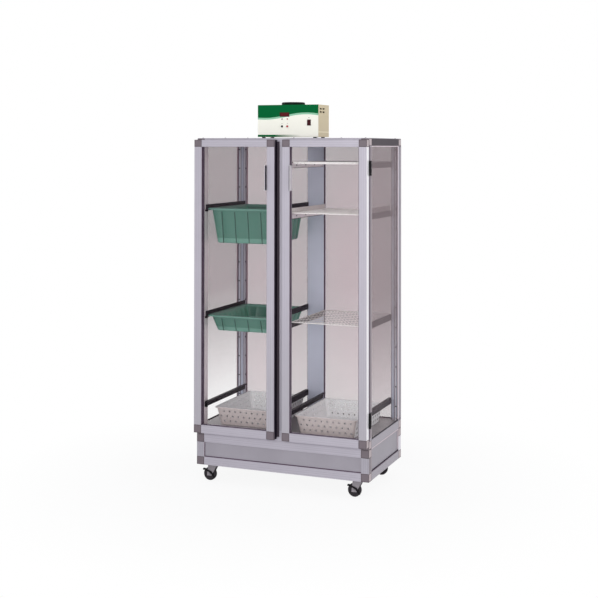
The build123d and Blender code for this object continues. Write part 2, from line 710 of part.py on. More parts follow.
def power_inlet():
    """A three-pin mains inlet, open to the back."""
    x, y, z = INLET
    side, thick, end = INLET_FLANGE
    hole_x = (x[0] + INLET_WALL, x[1] - INLET_WALL)
    hole_z = (z[0] + INLET_WALL, z[1] - INLET_WALL)
    floor = y[1] - INLET_DEEP
    inlet = slab(x, y, z) + slab((x[0] - side, x[1] + side), (y[1], y[1] + thick), (z[0] - end, z[1] + end))
    inlet -= slab(hole_x, (floor, y[1] + thick + CUT), hole_z)
    for pin_x, rise in INLET_PINS:
        mid_z = (z[0] + z[1]) / 2 + rise
        half_x, half_z = PIN_SIZE[0] / 2, PIN_SIZE[1] / 2
        pin_y = (floor - CUT, y[1] - INLET_WALL)
        inlet += slab((pin_x - half_x, pin_x + half_x), pin_y, (mid_z - half_z, mid_z + half_z))
    return inlet


def unit_cover():
    """The folded cover over the control unit: roof and two sides, with vents on the right."""
    y = (UNIT_Y[0] + FASCIA, UNIT_Y[1] - SHEET)
    z = (UNIT_Z[0] + SHEET, UNIT_Z[1])
    cover = slab(UNIT_X, (y[0], UNIT_Y[1]), z)
    inside_x = (UNIT_X[0] + SHEET, UNIT_X[1] - SHEET)
    cover -= slab(inside_x, (y[0] - CUT, UNIT_Y[1] + CUT), (z[0] - CUT, z[1] - SHEET))
    cover -= slab(UNIT_X, (y[1], UNIT_Y[1] + CUT), (z[0] - CUT, z[1] - SHEET))
    for sign in (-1, 1):
        for j in range(2):
            for k in range(2):
                y0 = UNIT_Y[0] + VENT_AT[0] + j * VENT_PITCH[0] - VENT_SIZE[0] / 2
                z0 = UNIT_Z[1] - VENT_AT[1] - k * VENT_PITCH[1] - VENT_SIZE[1] / 2
                x = sorted((sign * (UNIT_X[1] - 2 * SHEET), sign * (UNIT_X[1] + CUT)))
                cover -= slab(x, (y0, y0 + VENT_SIZE[0]), (z0, z0 + VENT_SIZE[1]))
    return cover


def button_place(index):
    """Middle of a push button on the fascia."""
    return BUTTON_XS[index], UNIT_Y[0], UNIT_Z[0] + BUTTON_HEIGHT


def unit_fascia():
    """The front plate, with its openings and the two ears that hold the rocker's pin."""
    plate = rounded(slab(UNIT_X, (UNIT_Y[0], UNIT_Y[0] + FASCIA), UNIT_Z), Axis.Y)
    through = (UNIT_Y[0] - CUT, UNIT_Y[0] + FASCIA + CUT)
    plate -= slab(*fascia_window(DISPLAY_AT, DISPLAY_SIZE, through, 0))
    plate -= slab(*fascia_window(ROCKER_AT, ROCKER_SIZE, through, ROCKER_PLAY))
    for index in range(2):
        x, _, z = button_place(index)
        plate -= rod(BUTTON_R + PLAY, (x, through[0], z), (x, through[1], z))
    x, y, z = rocker_pin()
    for side in (-1, 1):
        near = ROCKER_SIZE[0] / 2 + EAR_GAP
        ear = sorted((x + side * near, x + side * (near + EAR_THICK)))
        plate += slab(ear, (UNIT_Y[0] + FASCIA, y + EAR_SIZE[0]), (z - EAR_SIZE[1], z + EAR_SIZE[1]))
    reach = ROCKER_SIZE[0]
    return plate - rod(ROCKER_PIN_R + RUNNING, (x - reach, y, z), (x + reach, y, z))


def rocker_pin():
    """Middle of the rocker's cross pin, behind the fascia."""
    return ROCKER_AT[0], UNIT_Y[0] + FASCIA + ROCKER_PIVOT, UNIT_Z[0] + ROCKER_AT[1]


def fascia_window(at, size, y, play):
    """Spans of an opening in the fascia, or of what fills it."""
    x, z = at[0], UNIT_Z[0] + at[1]
    return (
        (x - size[0] / 2 - play, x + size[0] / 2 + play),
        y,
        (z - size[1] / 2 - play, z + size[1] / 2 + play),
    )


def display():
    """The lens of the display, set in its window and backed by its module."""
    lens = slab(*fascia_window(DISPLAY_AT, DISPLAY_SIZE, (UNIT_Y[0] + LENS_BACK, UNIT_Y[0] + FASCIA), 0))
    back = (UNIT_Y[0] + FASCIA, BOARD_Y[0])
    module = slab(*fascia_window(DISPLAY_AT, DISPLAY_SIZE, back, MODULE_RIM))
    return lens + module


BOARD_Y = (UNIT_Y[0] + FASCIA + BOARD_BEHIND, UNIT_Y[0] + FASCIA + BOARD_BEHIND + BOARD)


def control_board():
    """The circuit board behind the fascia, on four posts."""
    across = (UNIT_X[0] + BOARD_SIDES[0], UNIT_X[1] - BOARD_SIDES[1])
    rise = (UNIT_Z[0] + BOARD_ENDS[0], UNIT_Z[1] - BOARD_ENDS[1])
    board = slab(across, BOARD_Y, rise)
    for x in (across[0] + BOARD_POST, across[1] - BOARD_POST):
        for z in (rise[0] + BOARD_POST, rise[1] - BOARD_POST):
            board += rod(BOARD_POST_R, (x, UNIT_Y[0] + FASCIA, z), (x, BOARD_Y[0], z))
    return board


def push_button(index):
    """A round push button with a wider foot behind the fascia."""
    x, y, z = button_place(index)
    foot = y + FASCIA + BUTTON_TRAVEL / 2
    cap = rod(BUTTON_R, (x, y - BUTTON_PROUD, z), (x, foot, z))
    cap = fillet(cap.edges().group_by(Axis.Y)[0], BUTTON_EDGE)
    wider, thick = BUTTON_FOOT
    return cap + rod(BUTTON_R + wider, (x, foot - PLAY, z), (x, foot + thick, z))


def rocker():
    """The mains rocker, pressed in at its top at rest, with its cross pin."""
    x, pivot, z = rocker_pin()
    half_w, half_h = ROCKER_SIZE[0] / 2 - ROCKER_TRIM[0], ROCKER_SIZE[1] / 2 - ROCKER_TRIM[1]
    tilt = sin(radians(ROCKER_TILT / 2)) * half_h
    face = UNIT_Y[0] - ROCKER_PROUD
    back, end = pivot - ROCKER_PIN_R / 2, half_h - ROCKER_TAPER
    points = [(face - tilt, z - half_h), (face + ROCKER_PLAY, z), (face + tilt, z + half_h)]
    points += [(back, z + end), (back, z - end)]
    side = Plane.YZ.offset(x - half_w) * make_face(Polyline(*points, close=True))
    reach = ROCKER_SIZE[0] / 2 + PIN_PAST
    pin = rod(ROCKER_PIN_R, (x - reach, pivot, z), (x + reach, pivot, z))
    return extrude(side, 2 * half_w) + pin


def intake_cap():
    """The low round cap over the air intake in the unit's roof."""
    y = (UNIT_Y[0] + UNIT_Y[1]) / 2
    cap = Pos(0, y, UNIT_Z[1] + INTAKE_HIGH / 2) * Cylinder(INTAKE_R, INTAKE_HIGH)
    return chamfer(cap.edges().group_by(Axis.Z)[-1], INTAKE_EDGE)


# Warm air unit
BASE_FLOOR = (
    (-INNER, INNER),
    (FRONT + PROFILE, BACK - PROFILE),
    (BASE_Z + PLAY, BASE_Z + PLAY + SHEET),
)
UNDER = BASE_FLOOR[2][1]
BLOWER_Z = (UNDER + MOTOR_HIGH, UNDER + MOTOR_HIGH + BLOWER_HIGH)


def base_floor():
    """The base's bottom sheet, turned up at its edges onto the rails."""
    x, y, z = BASE_FLOOR
    floor = slab(x, y, z)
    for span in ((x[0], x[0] + SHEET), (x[1] - SHEET, x[1])):
        floor += slab(span, y, (z[0], z[0] + PROFILE / 2))
    return floor


def base_back():
    """The base's back sheet with its louvres."""
    sheet = slab(*BASE_BACK)
    z = (BASE_Z + CABINET_Z) / 2
    for place in Pos(0, BACK - PANE_INSET, z) * GridLocations(LOUVRE_PITCH, LOUVRE_PITCH, LOUVRES, 1):
        sheet -= place * Box(LOUVRE_SIZE[0], 4 * SHEET, LOUVRE_SIZE[1])
    return sheet


def blower_housing():
    """The blower's scroll: a drum with an eye in its top and a mouth towards the heater."""
    x, y = BLOWER_AT
    low, high = BLOWER_Z
    axis = ((x, y, low), (x, y, high))
    mouth_y = (y - BLOWER_R, y - BLOWER_R + MOUTH_WIDE)
    mouth_x = (x, x + BLOWER_R + MOUTH_LONG)
    shell = rod(BLOWER_R, *axis) + slab(mouth_x, mouth_y, (low, high))
    hollow = rod(BLOWER_R - WALL, (x, y, low + WALL), (x, y, high - WALL))
    hollow += slab((x, mouth_x[1] + CUT), (mouth_y[0] + WALL, mouth_y[1] - WALL), (low + WALL, high - WALL))
    shell -= hollow
    shell -= rod(BLOWER_R * EYE_SHARE, (x, y, high - WALL - CUT), (x, y, high + CUT))
    return shell - rod(SHAFT_HOLE_R, (x, y, low - CUT), (x, y, low + WALL + CUT))


def blower_motor():
    """The motor under the scroll, with the shaft's bearing bore."""
    x, y = BLOWER_AT
    body = rod(MOTOR_R, (x, y, UNDER), (x, y, BLOWER_Z[0]))
    return body - rod(SHAFT_R + RUNNING, (x, y, UNDER + SHAFT_FOOT), (x, y, BLOWER_Z[0] + CUT))


def impeller():
    """The wheel: back plate, blades, top ring, hub and shaft in one."""
    x, y = BLOWER_AT
    low, high = BLOWER_Z[0] + WALL + IMPELLER_GAP, BLOWER_Z[1] - WALL - IMPELLER_GAP
    radius = BLOWER_R - WALL - IMPELLER_GAP
    wheel = rod(radius, (x, y, low), (x, y, low + WHEEL_DISC))
    under = high - WHEEL_DISC
    ring = rod(radius, (x, y, under), (x, y, high))
    ring -= rod(radius - WHEEL_RING, (x, y, under - CUT), (x, y, high + CUT))
    blades = []
    for i in range(BLADES):
        turn = 360 / BLADES * i
        blade = Rot(0, 0, BLADE_TURN) * Box(*BLADE_SIZE, high - low - WHEEL_DISC)
        blade = Rot(0, 0, turn) * Pos(radius - BLADE_IN, 0, 0) * blade
        blades.append(Pos(x, y, (low + high) / 2) * blade)
    hub = rod(HUB[0], (x, y, low), (x, y, low + HUB[1]))
    shaft = rod(SHAFT_R, (x, y, UNDER + SHAFT_FOOT + PLAY), (x, y, low + CUT))
    return wheel + ring + blades + hub + shaft


def heater():
    """Three finned tubes between two brackets that stand on the base's bottom sheet."""
    x, y = HEATER_AT
    mid = UNDER + HEATER_SIDE / 2 + HEATER_LIFT
    x0, x1 = x - HEATER_LONG / 2, x + HEATER_LONG / 2
    across, rise = (y - HEATER_SIDE / 2, y + HEATER_SIDE / 2), (UNDER, mid + HEATER_SIDE / 2)
    body = slab((x0, x0 + HEATER_BRACKET), across, rise)
    body += slab((x1 - HEATER_BRACKET, x1), across, rise)
    body += [rod(HEATER_TUBE_R, (x0, y + d, mid), (x1, y + d, mid)) for d in HEATER_TUBES]
    pitch = HEATER_LONG / (FINS + 1)
    for i in range(1, FINS + 1):
        body += Pos(x0 + i * pitch, y, mid) * Box(*FIN_SIZE)
    return body


def air_filter():
    """The filter mat behind the back louvres, standing on the bottom sheet."""
    y1 = BACK - PROFILE - PLAY
    mat = slab((-FILTER_WIDE / 2, FILTER_WIDE / 2), (y1 - FILTER_THICK, y1), (UNDER, UNDER + FILTER_HIGH))
    return rounded(mat, Axis.Y, FILTER_EDGE)


# Casters
def caster_places():
    """Names and swivel axes of the four casters."""
    x, y = HALF - CASTER_INSET[0], CASTER_INSET[1]
    return {
        "front_left": (-x, FRONT + y),
        "front_right": (x, FRONT + y),
        "rear_left": (-x, BACK - y),
        "rear_right": (x, BACK - y),
    }


def caster_plate(x, y):
    """The fixed plate, the upper half of the swivel and the pin that the fork turns on."""
    wide, long, thick = CASTER_PLATE
    plate = slab((x - wide / 2, x + wide / 2), (y - long / 2, y + long / 2), (BASE_Z - thick, BASE_Z))
    plate = rounded(plate, Axis.Z, PLATE_CORNER)
    plate += rod(SWIVEL_R, (x, y, FORK_TOP + PLAY), (x, y, BASE_Z - thick))
    return plate + rod(KINGPIN_R, (x, y, FORK_TOP - FORK_SHEET - KINGPIN_END), (x, y, FORK_TOP + PLAY))


FORK_TOP = BASE_Z - CASTER_PLATE[2] - SWIVEL_HIGH - PLAY
FORK_HALF = WHEEL_WIDE / 2 + FORK_PLAY
CHEEK_FACE = FORK_HALF + FORK_SHEET


def upright(y):
    """A plane across the cabinet at one depth, seen from the front."""
    return Plane((0, y, 0), x_dir=(1, 0, 0), z_dir=(0, -1, 0))


def caster_fork(x, y, braked):
    """The swivelling fork with its axle pin, and a bore for the brake lever where it has one."""
    axle_x = x - CASTER_TRAIL
    level = (FORK_TOP - FORK_SHEET, FORK_TOP)
    ends = (x - FORK_REACH[0], x + FORK_REACH[1])
    fork = rounded(slab(ends, (y - CHEEK_FACE, y + CHEEK_FACE), level), Axis.Z, FORK_CORNER)
    half, below = CHEEK_FOOT
    outline = [(ends[0], FORK_TOP), (ends[1], FORK_TOP)]
    outline += [(axle_x + half, WHEEL_R - below), (axle_x - half, WHEEL_R - below)]
    for side in (-1, 1):
        at = y + side * (FORK_HALF + FORK_SHEET / 2)
        fork += extrude(upright(at) * make_face(Polyline(*outline, close=True)), FORK_SHEET / 2, both=True)
    fork -= rod(KINGPIN_R + RUNNING, (x, y, level[0] - CUT), (x, y, level[1] + CUT))
    if braked:
        fork -= brake_pin(x, y, BRAKE_PIN_R + RUNNING)
    span = CHEEK_FACE + AXLE_END
    return fork + rod(AXLE_R, (axle_x, y - span, WHEEL_R), (axle_x, y + span, WHEEL_R))


def caster_wheel(x, y):
    """A wheel with a rounded tread, dished faces and a bore that runs on the axle."""
    axle_x = x - CASTER_TRAIL
    half = WHEEL_WIDE / 2
    wheel = rod(WHEEL_R, (axle_x, y - half, WHEEL_R), (axle_x, y + half, WHEEL_R))
    wheel = fillet(wheel.edges().filter_by(GeomType.CIRCLE), TREAD_ROUND)
    rim, deep = DISH
    for side in (-1, 1):
        face = y + side * half
        dish = rod(WHEEL_R - rim, (axle_x, face - deep, WHEEL_R), (axle_x, face + deep, WHEEL_R))
        past = deep + CUT
        wheel -= dish - rod(AXLE_R + BOSS, (axle_x, face - past, WHEEL_R), (axle_x, face + past, WHEEL_R))
    return wheel - rod(AXLE_R + RUNNING, (axle_x, y - WHEEL_WIDE, WHEEL_R), (axle_x, y + WHEEL_WIDE, WHEEL_R))


def brake_pin(x, y, radius):
    """The brake lever's pin through the fork's front cheek, or its bore."""
    px, pz = x + BRAKE_PIVOT[0], BRAKE_PIVOT[1]
    return rod(radius, (px, y - CHEEK_FACE - PLAY, pz), (px, y - FORK_HALF - KNUCKLE_PLAY, pz))


def brake_lever(x, y):
    """The lever that locks a front wheel, across the fork's front cheek, with its pedal."""
    px, pz = x + BRAKE_PIVOT[0], BRAKE_PIVOT[1]
    tip_x, tip_z = x + BRAKE_PEDAL[0], BRAKE_PEDAL[1]
    tail_x, tail_z = x + BRAKE_TAIL[0], BRAKE_TAIL[1]
    half = BRAKE_WIDE / 2
    points = [(tip_x, tip_z + half), (px + half, pz + half), (tail_x + half, tail_z), (tail_x - half, tail_z)]
    points += [(px - half, pz - half), (tip_x, tip_z - half)]
    near = y - CHEEK_FACE - PLAY
    lever = extrude(upright(near) * make_face(Polyline(*points, close=True)), BRAKE_SHEET)
    deep = (near - BRAKE_SHEET - PEDAL, near)
    pedal = rounded(slab((tip_x, tip_x + PEDAL), deep, (tip_z - half, tip_z + half)), Axis.Z, PEDAL_EDGE)
    return lever + pedal + brake_pin(x, y, BRAKE_PIN_R)


def build():
    """Writes every node."""
    os.makedirs("parts", exist_ok=True)
    profiles, base_blocks = base_frame()
    write("base_frame", *profiles)
    write("base_panels", slab(*BASE_FRONT), base_back(), base_floor(), *both(slab(*BASE_SIDE)))

    profiles, side_tops, cabinet_blocks = cabinet_frame()
    write("cabinet_frame", *profiles)
    write("top_side_rails", *side_tops)
    write("corner_blocks", *base_blocks, *cabinet_blocks)
    write("centre_column", centre_column())
    write("roof", roof_sheet())
    write("chamber_floor", chamber_floor())
    write("clear_walls", slab(*BACK_WALL), *both(slab(*SIDE_WALL)))
    write("wall_gaskets", *wall_gaskets())
    write("black_rails", *(rail(*place) for place in black_rails()))
    write("silver_rails", *(rail(*place) for place in silver_rails()))
    write("rail_caps", *(rail_cap(*place[:4]) for place in black_rails() + silver_rails()))
    write("door_catches", *door_catches())
    write("hinge_frame_leaves", *(p for z in HINGE_HEIGHTS for p in both(frame_leaf(z))))

    profiles, blocks = door_frame()
    door = {
        "frame": profiles,
        "corner_blocks": blocks,
        "window": [slab(*DOOR_PANE)],
        "gasket": [door_gasket()],
        "pull": [door_pull()],
        "hinge_leaves": [door_leaf(z) for z in HINGE_HEIGHTS],
    }
    for name, solids in door.items():
        write(f"right_door_{name}", *solids)
        write(f"left_door_{name}", *(flipped(s) for s in solids))

    write("deep_basket", hung_basket(BASKET_RAILS[0], DEEP_BASKET))
    write("shallow_basket", hung_basket(BASKET_RAILS[1], SHALLOW_BASKET))
    write("left_tray", floor_tray(*LEFT_TRAY))
    write("right_tray", floor_tray(*RIGHT_TRAY))
    write("lower_rack", net_rack(RACK_RAILS[0], 0))
    write("upper_rack", net_rack(SILVER_RAILS[1], RACK_UPSTAND))
    write("hanging_rack", hanging_rack(SILVER_RAILS[0]))

    write("unit_tray", unit_tray())
    write("unit_cover", unit_cover())
    write("unit_fascia", unit_fascia())
    foot_x = UNIT_X[1] - FOOT_INSET[0]
    foot_y = (UNIT_Y[0] + FOOT_INSET[1], UNIT_Y[1] - FOOT_INSET[1])
    feet = [rod(FOOT_R, (foot_x, y, ROOF), (foot_x, y, UNIT_Z[0])) for y in foot_y]
    write("unit_feet", *(p for foot in feet for p in both(foot)))
    write("unit_display", display())
    write("unit_board", control_board())
    write("mode_button", push_button(0))
    write("start_button", push_button(1))
    write("mains_rocker", rocker())
    write("intake_cap", intake_cap())
    write("power_inlet", power_inlet())

    write("blower", blower_housing(), blower_motor())
    write("blower_impeller", impeller())
    write("heater", heater())
    write("air_filter", air_filter())

    write("caster_plates", *(caster_plate(*place) for place in caster_places().values()))
    for name, place in caster_places().items():
        write(f"{name}_fork", caster_fork(*place, name.startswith("front")))
        write(f"{name}_wheel", caster_wheel(*place))
        if name.startswith("front"):
            write(f"{name}_brake", brake_lever(*place))


build()
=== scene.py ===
"""Looks of the instrument drying cabinet: finishes, ribbed baskets, wire racks, seals and small fittings."""

import logging
import math
from dataclasses import dataclass
from enum import Enum
from typing import Any, Iterable, Optional, Protocol, Sequence, Union

import bmesh
import bpy
from mathutils import Matrix, Vector

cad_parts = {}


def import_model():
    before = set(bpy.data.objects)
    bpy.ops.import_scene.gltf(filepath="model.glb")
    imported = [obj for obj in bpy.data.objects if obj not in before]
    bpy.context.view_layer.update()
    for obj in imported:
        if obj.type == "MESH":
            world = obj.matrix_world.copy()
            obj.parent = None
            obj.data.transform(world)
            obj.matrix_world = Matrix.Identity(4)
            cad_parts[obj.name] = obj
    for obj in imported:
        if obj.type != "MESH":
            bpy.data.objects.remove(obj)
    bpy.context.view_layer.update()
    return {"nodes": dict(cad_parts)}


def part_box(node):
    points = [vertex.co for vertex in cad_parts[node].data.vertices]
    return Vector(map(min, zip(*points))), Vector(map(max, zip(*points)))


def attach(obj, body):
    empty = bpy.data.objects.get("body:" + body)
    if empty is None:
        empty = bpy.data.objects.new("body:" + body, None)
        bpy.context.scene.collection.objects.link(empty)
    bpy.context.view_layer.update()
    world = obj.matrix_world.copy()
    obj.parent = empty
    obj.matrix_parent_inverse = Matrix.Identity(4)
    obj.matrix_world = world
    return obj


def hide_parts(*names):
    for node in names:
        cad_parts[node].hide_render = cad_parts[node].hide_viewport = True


LOG = logging.getLogger("drying_cabinet")
PROFILE = 0.040  # square section of posts, rails and corner blocks, in metres
TOP_RAIL = 0.035  # height of the uppermost rails and blocks
SQUARELY = 0.7  # a surface faces an axis where this much of its direction lies along it
Point = tuple[float, float, float]
Colour = tuple[float, float, float]
Pair = tuple[float, float]


class Facing(Enum):
    """Which way a small fitting's head looks."""

    FRONT = (0.0, -1.0, 0.0)
    BACK = (0.0, 1.0, 0.0)
    LEFT = (-1.0, 0.0, 0.0)
    RIGHT = (1.0, 0.0, 0.0)
    UP = (0.0, 0.0, 1.0)

    def turn(self) -> Matrix:
        """The rotation that brings +Z to this direction."""
        return Vector((0, 0, 1)).rotation_difference(Vector(self.value)).to_matrix().to_4x4()


class Grain(Enum):
    """The direction in which a drawn or brushed surface is streaked."""

    UPRIGHT = (260.0, 260.0, 3.0)
    ACROSS = (3.0, 260.0, 260.0)
    LEVEL = (3.0, 3.0, 260.0)


def linear(red: int, green: int, blue: int) -> Colour:
    """A colour as seen on a screen, in the linear values that shaders take.

    Args:
        red: 0 to 255.
        green: 0 to 255.
        blue: 0 to 255.

    Returns:
        The three linear values.
    """
    shares = [c / 255 for c in (red, green, blue)]
    return tuple(c / 12.92 if c <= 0.04045 else ((c + 0.055) / 1.055) ** 2.4 for c in shares)


class Sock:
    """A shader socket that can be used in arithmetic."""

    def __init__(self, recipe: "Recipe", socket: bpy.types.NodeSocket) -> None:
        """Wraps one output socket of a recipe."""
        self.recipe = recipe
        self.socket = socket

    def _math(self, operation: str, first: Any, second: Any) -> "Sock":
        """A Math node on two values."""
        return self.recipe.node("ShaderNodeMath", {"operation": operation}, {0: first, 1: second})

    def __add__(self, other: Any) -> "Sock":
        """The sum with a number or socket."""
        return self._math("ADD", self, other)

    def __sub__(self, other: Any) -> "Sock":
        """This less a number or socket."""
        return self._math("SUBTRACT", self, other)

    def __rsub__(self, other: Any) -> "Sock":
        """A number less this."""
        return self._math("SUBTRACT", other, self)

    def __mul__(self, other: Any) -> "Sock":
        """The product with a number or socket."""
        return self._math("MULTIPLY", self, other)

    __radd__ = __add__
    __rmul__ = __mul__

    def __abs__(self) -> "Sock":
        """The size without its sign."""
        return self._math("ABSOLUTE", self, 0.0)

    def above(self, limit: Any) -> "Sock":
        """1 where this is above a limit, else 0."""
        return self._math("GREATER_THAN", self, limit)

    def sine(self) -> "Sock":
        """The sine of this, in radians."""
        return self._math("SINE", self, 0.0)

    def between(self, low: float, high: float) -> "Sock":
        """0 at low and below, 1 at high and above, and even in between."""
        return self.recipe.node("ShaderNodeMapRange", {"clamp": True}, {0: self, 1: low, 2: high, 3: 0.0, 4: 1.0})

    def around(self, middle: float, width: float) -> "Sock":
        """A value that follows this, from 0 to 1, evenly round a middle."""
        return self * width + (middle - width / 2)


Value = Union[Sock, float, Sequence[float]]


class Recipe:
    """Builds the nodes of one material."""

    def __init__(self, name: str) -> None:
        """Starts a material with an empty Principled surface.

        Args:
            name: The material's name.
        """
        self.material = bpy.data.materials.new(name)
        self.material.use_nodes = True
        self.tree = self.material.node_tree
        self.surface = self.tree.nodes["Principled BSDF"]

    def node(self, kind: str, settings: dict[str, Any], inputs: dict[Any, Value], output: Any = 0) -> Sock:
        """Adds one node.

        Args:
            kind: The node's type.
            settings: Properties that are set first.
            inputs: Values or links, by socket name or number.
            output: The output that is returned.

        Returns:
            The chosen output.
        """
        made = self.tree.nodes.new(kind)
        for key, value in settings.items():
            setattr(made, key, value)
        for key, value in inputs.items():
            self._feed(made.inputs[key], value)
        return Sock(self, made.outputs[output])

    def _feed(self, socket: bpy.types.NodeSocket, value: Value) -> None:
        """Links a socket or sets its value.

        Args:
            socket: An input of a node.
            value: The socket or the value that it gets.
        """
        if isinstance(value, Sock):
            self.tree.links.new(value.socket, socket)
        elif socket.type == "RGBA" and len(value) == 3:
            socket.default_value = (*value, 1.0)
        else:
            socket.default_value = value

    def set(self, **inputs: Value) -> "Recipe":
        """Feeds the Principled surface; an underscore stands for a space in a socket's name.

        Args:
            inputs: Values or links, by socket name.

        Returns:
            This recipe.
        """
        for key, value in inputs.items():
            self._feed(self.surface.inputs[key.replace("_", " ")], value)
        return self

    def place(self) -> Sock:
        """The surface point in the object's own coordinates."""
        return self.node("ShaderNodeTexCoord", {}, {}, "Object")

    def axis(self, name: str) -> Sock:
        """One coordinate of the surface point."""
        return self.node("ShaderNodeSeparateXYZ", {}, {0: self.place()}, name)

    def normal(self, name: str) -> Sock:
        """One coordinate of the surface's direction."""
        facing = self.node("ShaderNodeTexCoord", {}, {}, "Normal")
        return self.node("ShaderNodeSeparateXYZ", {}, {0: facing}, name)

    def inside(self, value: Sock, spans: Iterable[Pair]) -> Value:
        """1 where a value lies in one of the spans, else 0.

        Args:
            value: What is looked at.
            spans: Lower and upper ends.

        Returns:
            The mask.
        """
        mask: Value = 0.0
        for low, high in spans:
            mask = value.above(low) - value.above(high) + mask
        return mask

    def noise(self, scale: float, detail: float, at: Optional[Sock] = None) -> Sock:
        """Fractal noise from 0 to 1."""
        values = {"Vector": at or self.place(), "Scale": scale, "Detail": detail}
        return self.node("ShaderNodeTexNoise", {}, values)

    def streaks(self, grain: Grain) -> Sock:
        """Noise drawn out along a grain."""
        values = {0: self.place(), 1: grain.value}
        return self.noise(1.0, 4.0, self.node("ShaderNodeVectorMath", {"operation": "MULTIPLY"}, values))

    def mix(self, share: Value, first: Value, second: Value) -> Sock:
        """A colour between two, by a share."""
        settings = {"data_type": "RGBA"}
        return self.node("ShaderNodeMix", settings, {0: share, 6: first, 7: second}, 2)

    def dimmed(self, colour: Sock, factor: Sock) -> Sock:
        """A colour multiplied by a number."""
        return self.node("ShaderNodeVectorMath", {"operation": "SCALE"}, {0: colour, "Scale": factor})

    def bump(self, height: Sock, distance: float, strength: float) -> "Recipe":
        """Adds relief of a depth in metres."""
        values = {"Height": height, "Distance": distance, "Strength": strength}
        return self.set(Normal=self.node("ShaderNodeBump", {}, values))


class Finish(Protocol):
    """What every finish offers."""

    name: str

    def make(self) -> bpy.types.Material:
        """Builds the material."""


def shade(colour: Colour, factor: float) -> Colour:
    """A colour made darker or lighter."""
    return tuple(min(1.0, c * factor) for c in colour)


@dataclass(frozen=True)
class Extrusion:
    """Anodised profile: drawn lines along its length darkened with painted shade, painted light and shade on its
    flanks and rear faces, and painted shade towards the foot.
    """

    name: str
    bands: tuple[Pair, ...]
    face: Colour
    # foot: painted shade, the darker colour that the faces take towards the floor
    foot: Colour
    # flank and the five colours below it: painted light and shade, lit and shaded tones of one anodised colour by
    # the way a face looks and where it stands
    flank: Colour
    rear_flank_lighting: Colour
    level_flank_lighting: Colour
    inner_rear_lighting: Colour
    inner_flank_lighting: Colour
    inner_rear_flank_lighting: Colour
    rear_from: float = 0.2
    outer_from: float = 0.43
    # fade: heights over which the painted shade of the foot gives way to the face colour
    fade: Pair = (0.25, 0.9)
    line_pitch: float = 0.01
    line_edge: Pair = (0.78, 0.98)
    # painted shade in the drawn lines
    line_painted_shade: float = 0.16
    line_deep: float = 2.0
    streak: float = 0.2
    cloud: float = 0.1
    metallic: float = 0.25
    roughness: float = 0.4
    relief: float = 0.00015

    def make(self) -> bpy.types.Material:
        """Builds the material.

        Returns:
            The material.
        """
        recipe = Recipe(self.name)
        x, y, z = (recipe.axis(axis) for axis in "XYZ")
        flank = abs(recipe.normal("X")).above(SQUARELY)
        level = recipe.inside(z, self.bands)
        rear = y.above(self.rear_from)
        inner = (0 - recipe.normal("Y")).above(SQUARELY) * rear * (1 - level)
        # painted shade: the faces darken towards the foot
        front = recipe.mix(z.between(*self.fade), self.foot, self.face)
        front = recipe.mix(level, front, self.face)
        # painted light: the rear posts' forward faces take a lit tone
        front = recipe.mix(inner, front, self.inner_rear_lighting)
        # painted light and shade: the flanks take lit or shaded tones by where they stand
        outside = recipe.mix(rear, self.flank, self.rear_flank_lighting)
        outside = recipe.mix(level, outside, self.level_flank_lighting)
        inside = recipe.mix(rear, self.inner_flank_lighting, self.inner_rear_flank_lighting)
        side = recipe.mix(abs(x).above(self.outer_from), inside, outside)
        along = z * level + (y * flank + x * (1 - flank)) * (1 - level)
        line = (along * (2 * math.pi / self.line_pitch)).sine().between(*self.line_edge)
        streaks = recipe.streaks(Grain.UPRIGHT) * (1 - level) + recipe.streaks(Grain.LEVEL) * level
        tone = streaks.around(1.0, self.streak) + recipe.noise(7.0, 2.0).around(0.0, self.cloud)
        # the drawn lines are darkened with painted shade
        recipe.set(
            Base_Color=recipe.dimmed(recipe.mix(flank, front, side), tone * (1 - line * self.line_painted_shade)),
            Roughness=streaks.around(self.roughness, 0.16),
            Metallic=self.metallic,
        )
        return recipe.bump(streaks - line * self.line_deep, self.relief, 0.4).material


@dataclass(frozen=True)
class DrawnMetal:
    """Brushed sheet with fine streaks."""

    name: str
    colour: Colour
    grain: Grain = Grain.ACROSS
    shades: Pair = (0.84, 1.1)
    spread: Pair = (0.3, 0.72)
    cloud: float = 0.4
    metallic: float = 0.55
    roughness: float = 0.34
    relief: float = 0.00012

    def make(self) -> bpy.types.Material:
        """Builds the material.

        Returns:
            The material.
        """
        recipe = Recipe(self.name)
        streaks = recipe.streaks(self.grain)
        tone = streaks * (1 - self.cloud) + recipe.noise(7.0, 2.0) * self.cloud
        dark, pale = (shade(self.colour, factor) for factor in self.shades)
        recipe.set(
            Base_Color=recipe.mix(tone.between(*self.spread), dark, pale),
            Roughness=streaks.around(self.roughness, 0.16),
            Metallic=self.metallic,
        )
        return recipe.bump(streaks, self.relief, 0.4).material


@dataclass(frozen=True)
class Banded:
    """Moulded surface with level stripes of a second colour, and flanks of a third."""

    name: str
    colour: Colour
    flank: Colour
    stripe: Colour
    stripes: tuple[Pair, ...] = ()
    flank_beyond: float = 0.0
    cloud: float = 0.2
    roughness: float = 0.45
    metallic: float = 0.0
    relief: float = 0.0001

    def make(self) -> bpy.types.Material:
        """Builds the material.

        Returns:
            The material.
        """
        recipe = Recipe(self.name)
        flank = abs(recipe.normal("X")).above(SQUARELY) * abs(recipe.axis("X")).above(self.flank_beyond)
        colour = recipe.mix(flank, self.colour, self.flank)
        colour = recipe.mix(recipe.inside(recipe.axis("Z"), self.stripes), colour, self.stripe)
        cloud = recipe.noise(6.0, 4.0)
        recipe.set(
            Base_Color=recipe.dimmed(colour, cloud.around(1.0, self.cloud)),
            Roughness=cloud.around(self.roughness, 0.14),
            Metallic=self.metallic,
        )
        return recipe.bump(recipe.noise(700.0, 2.0), self.relief, 0.5).material


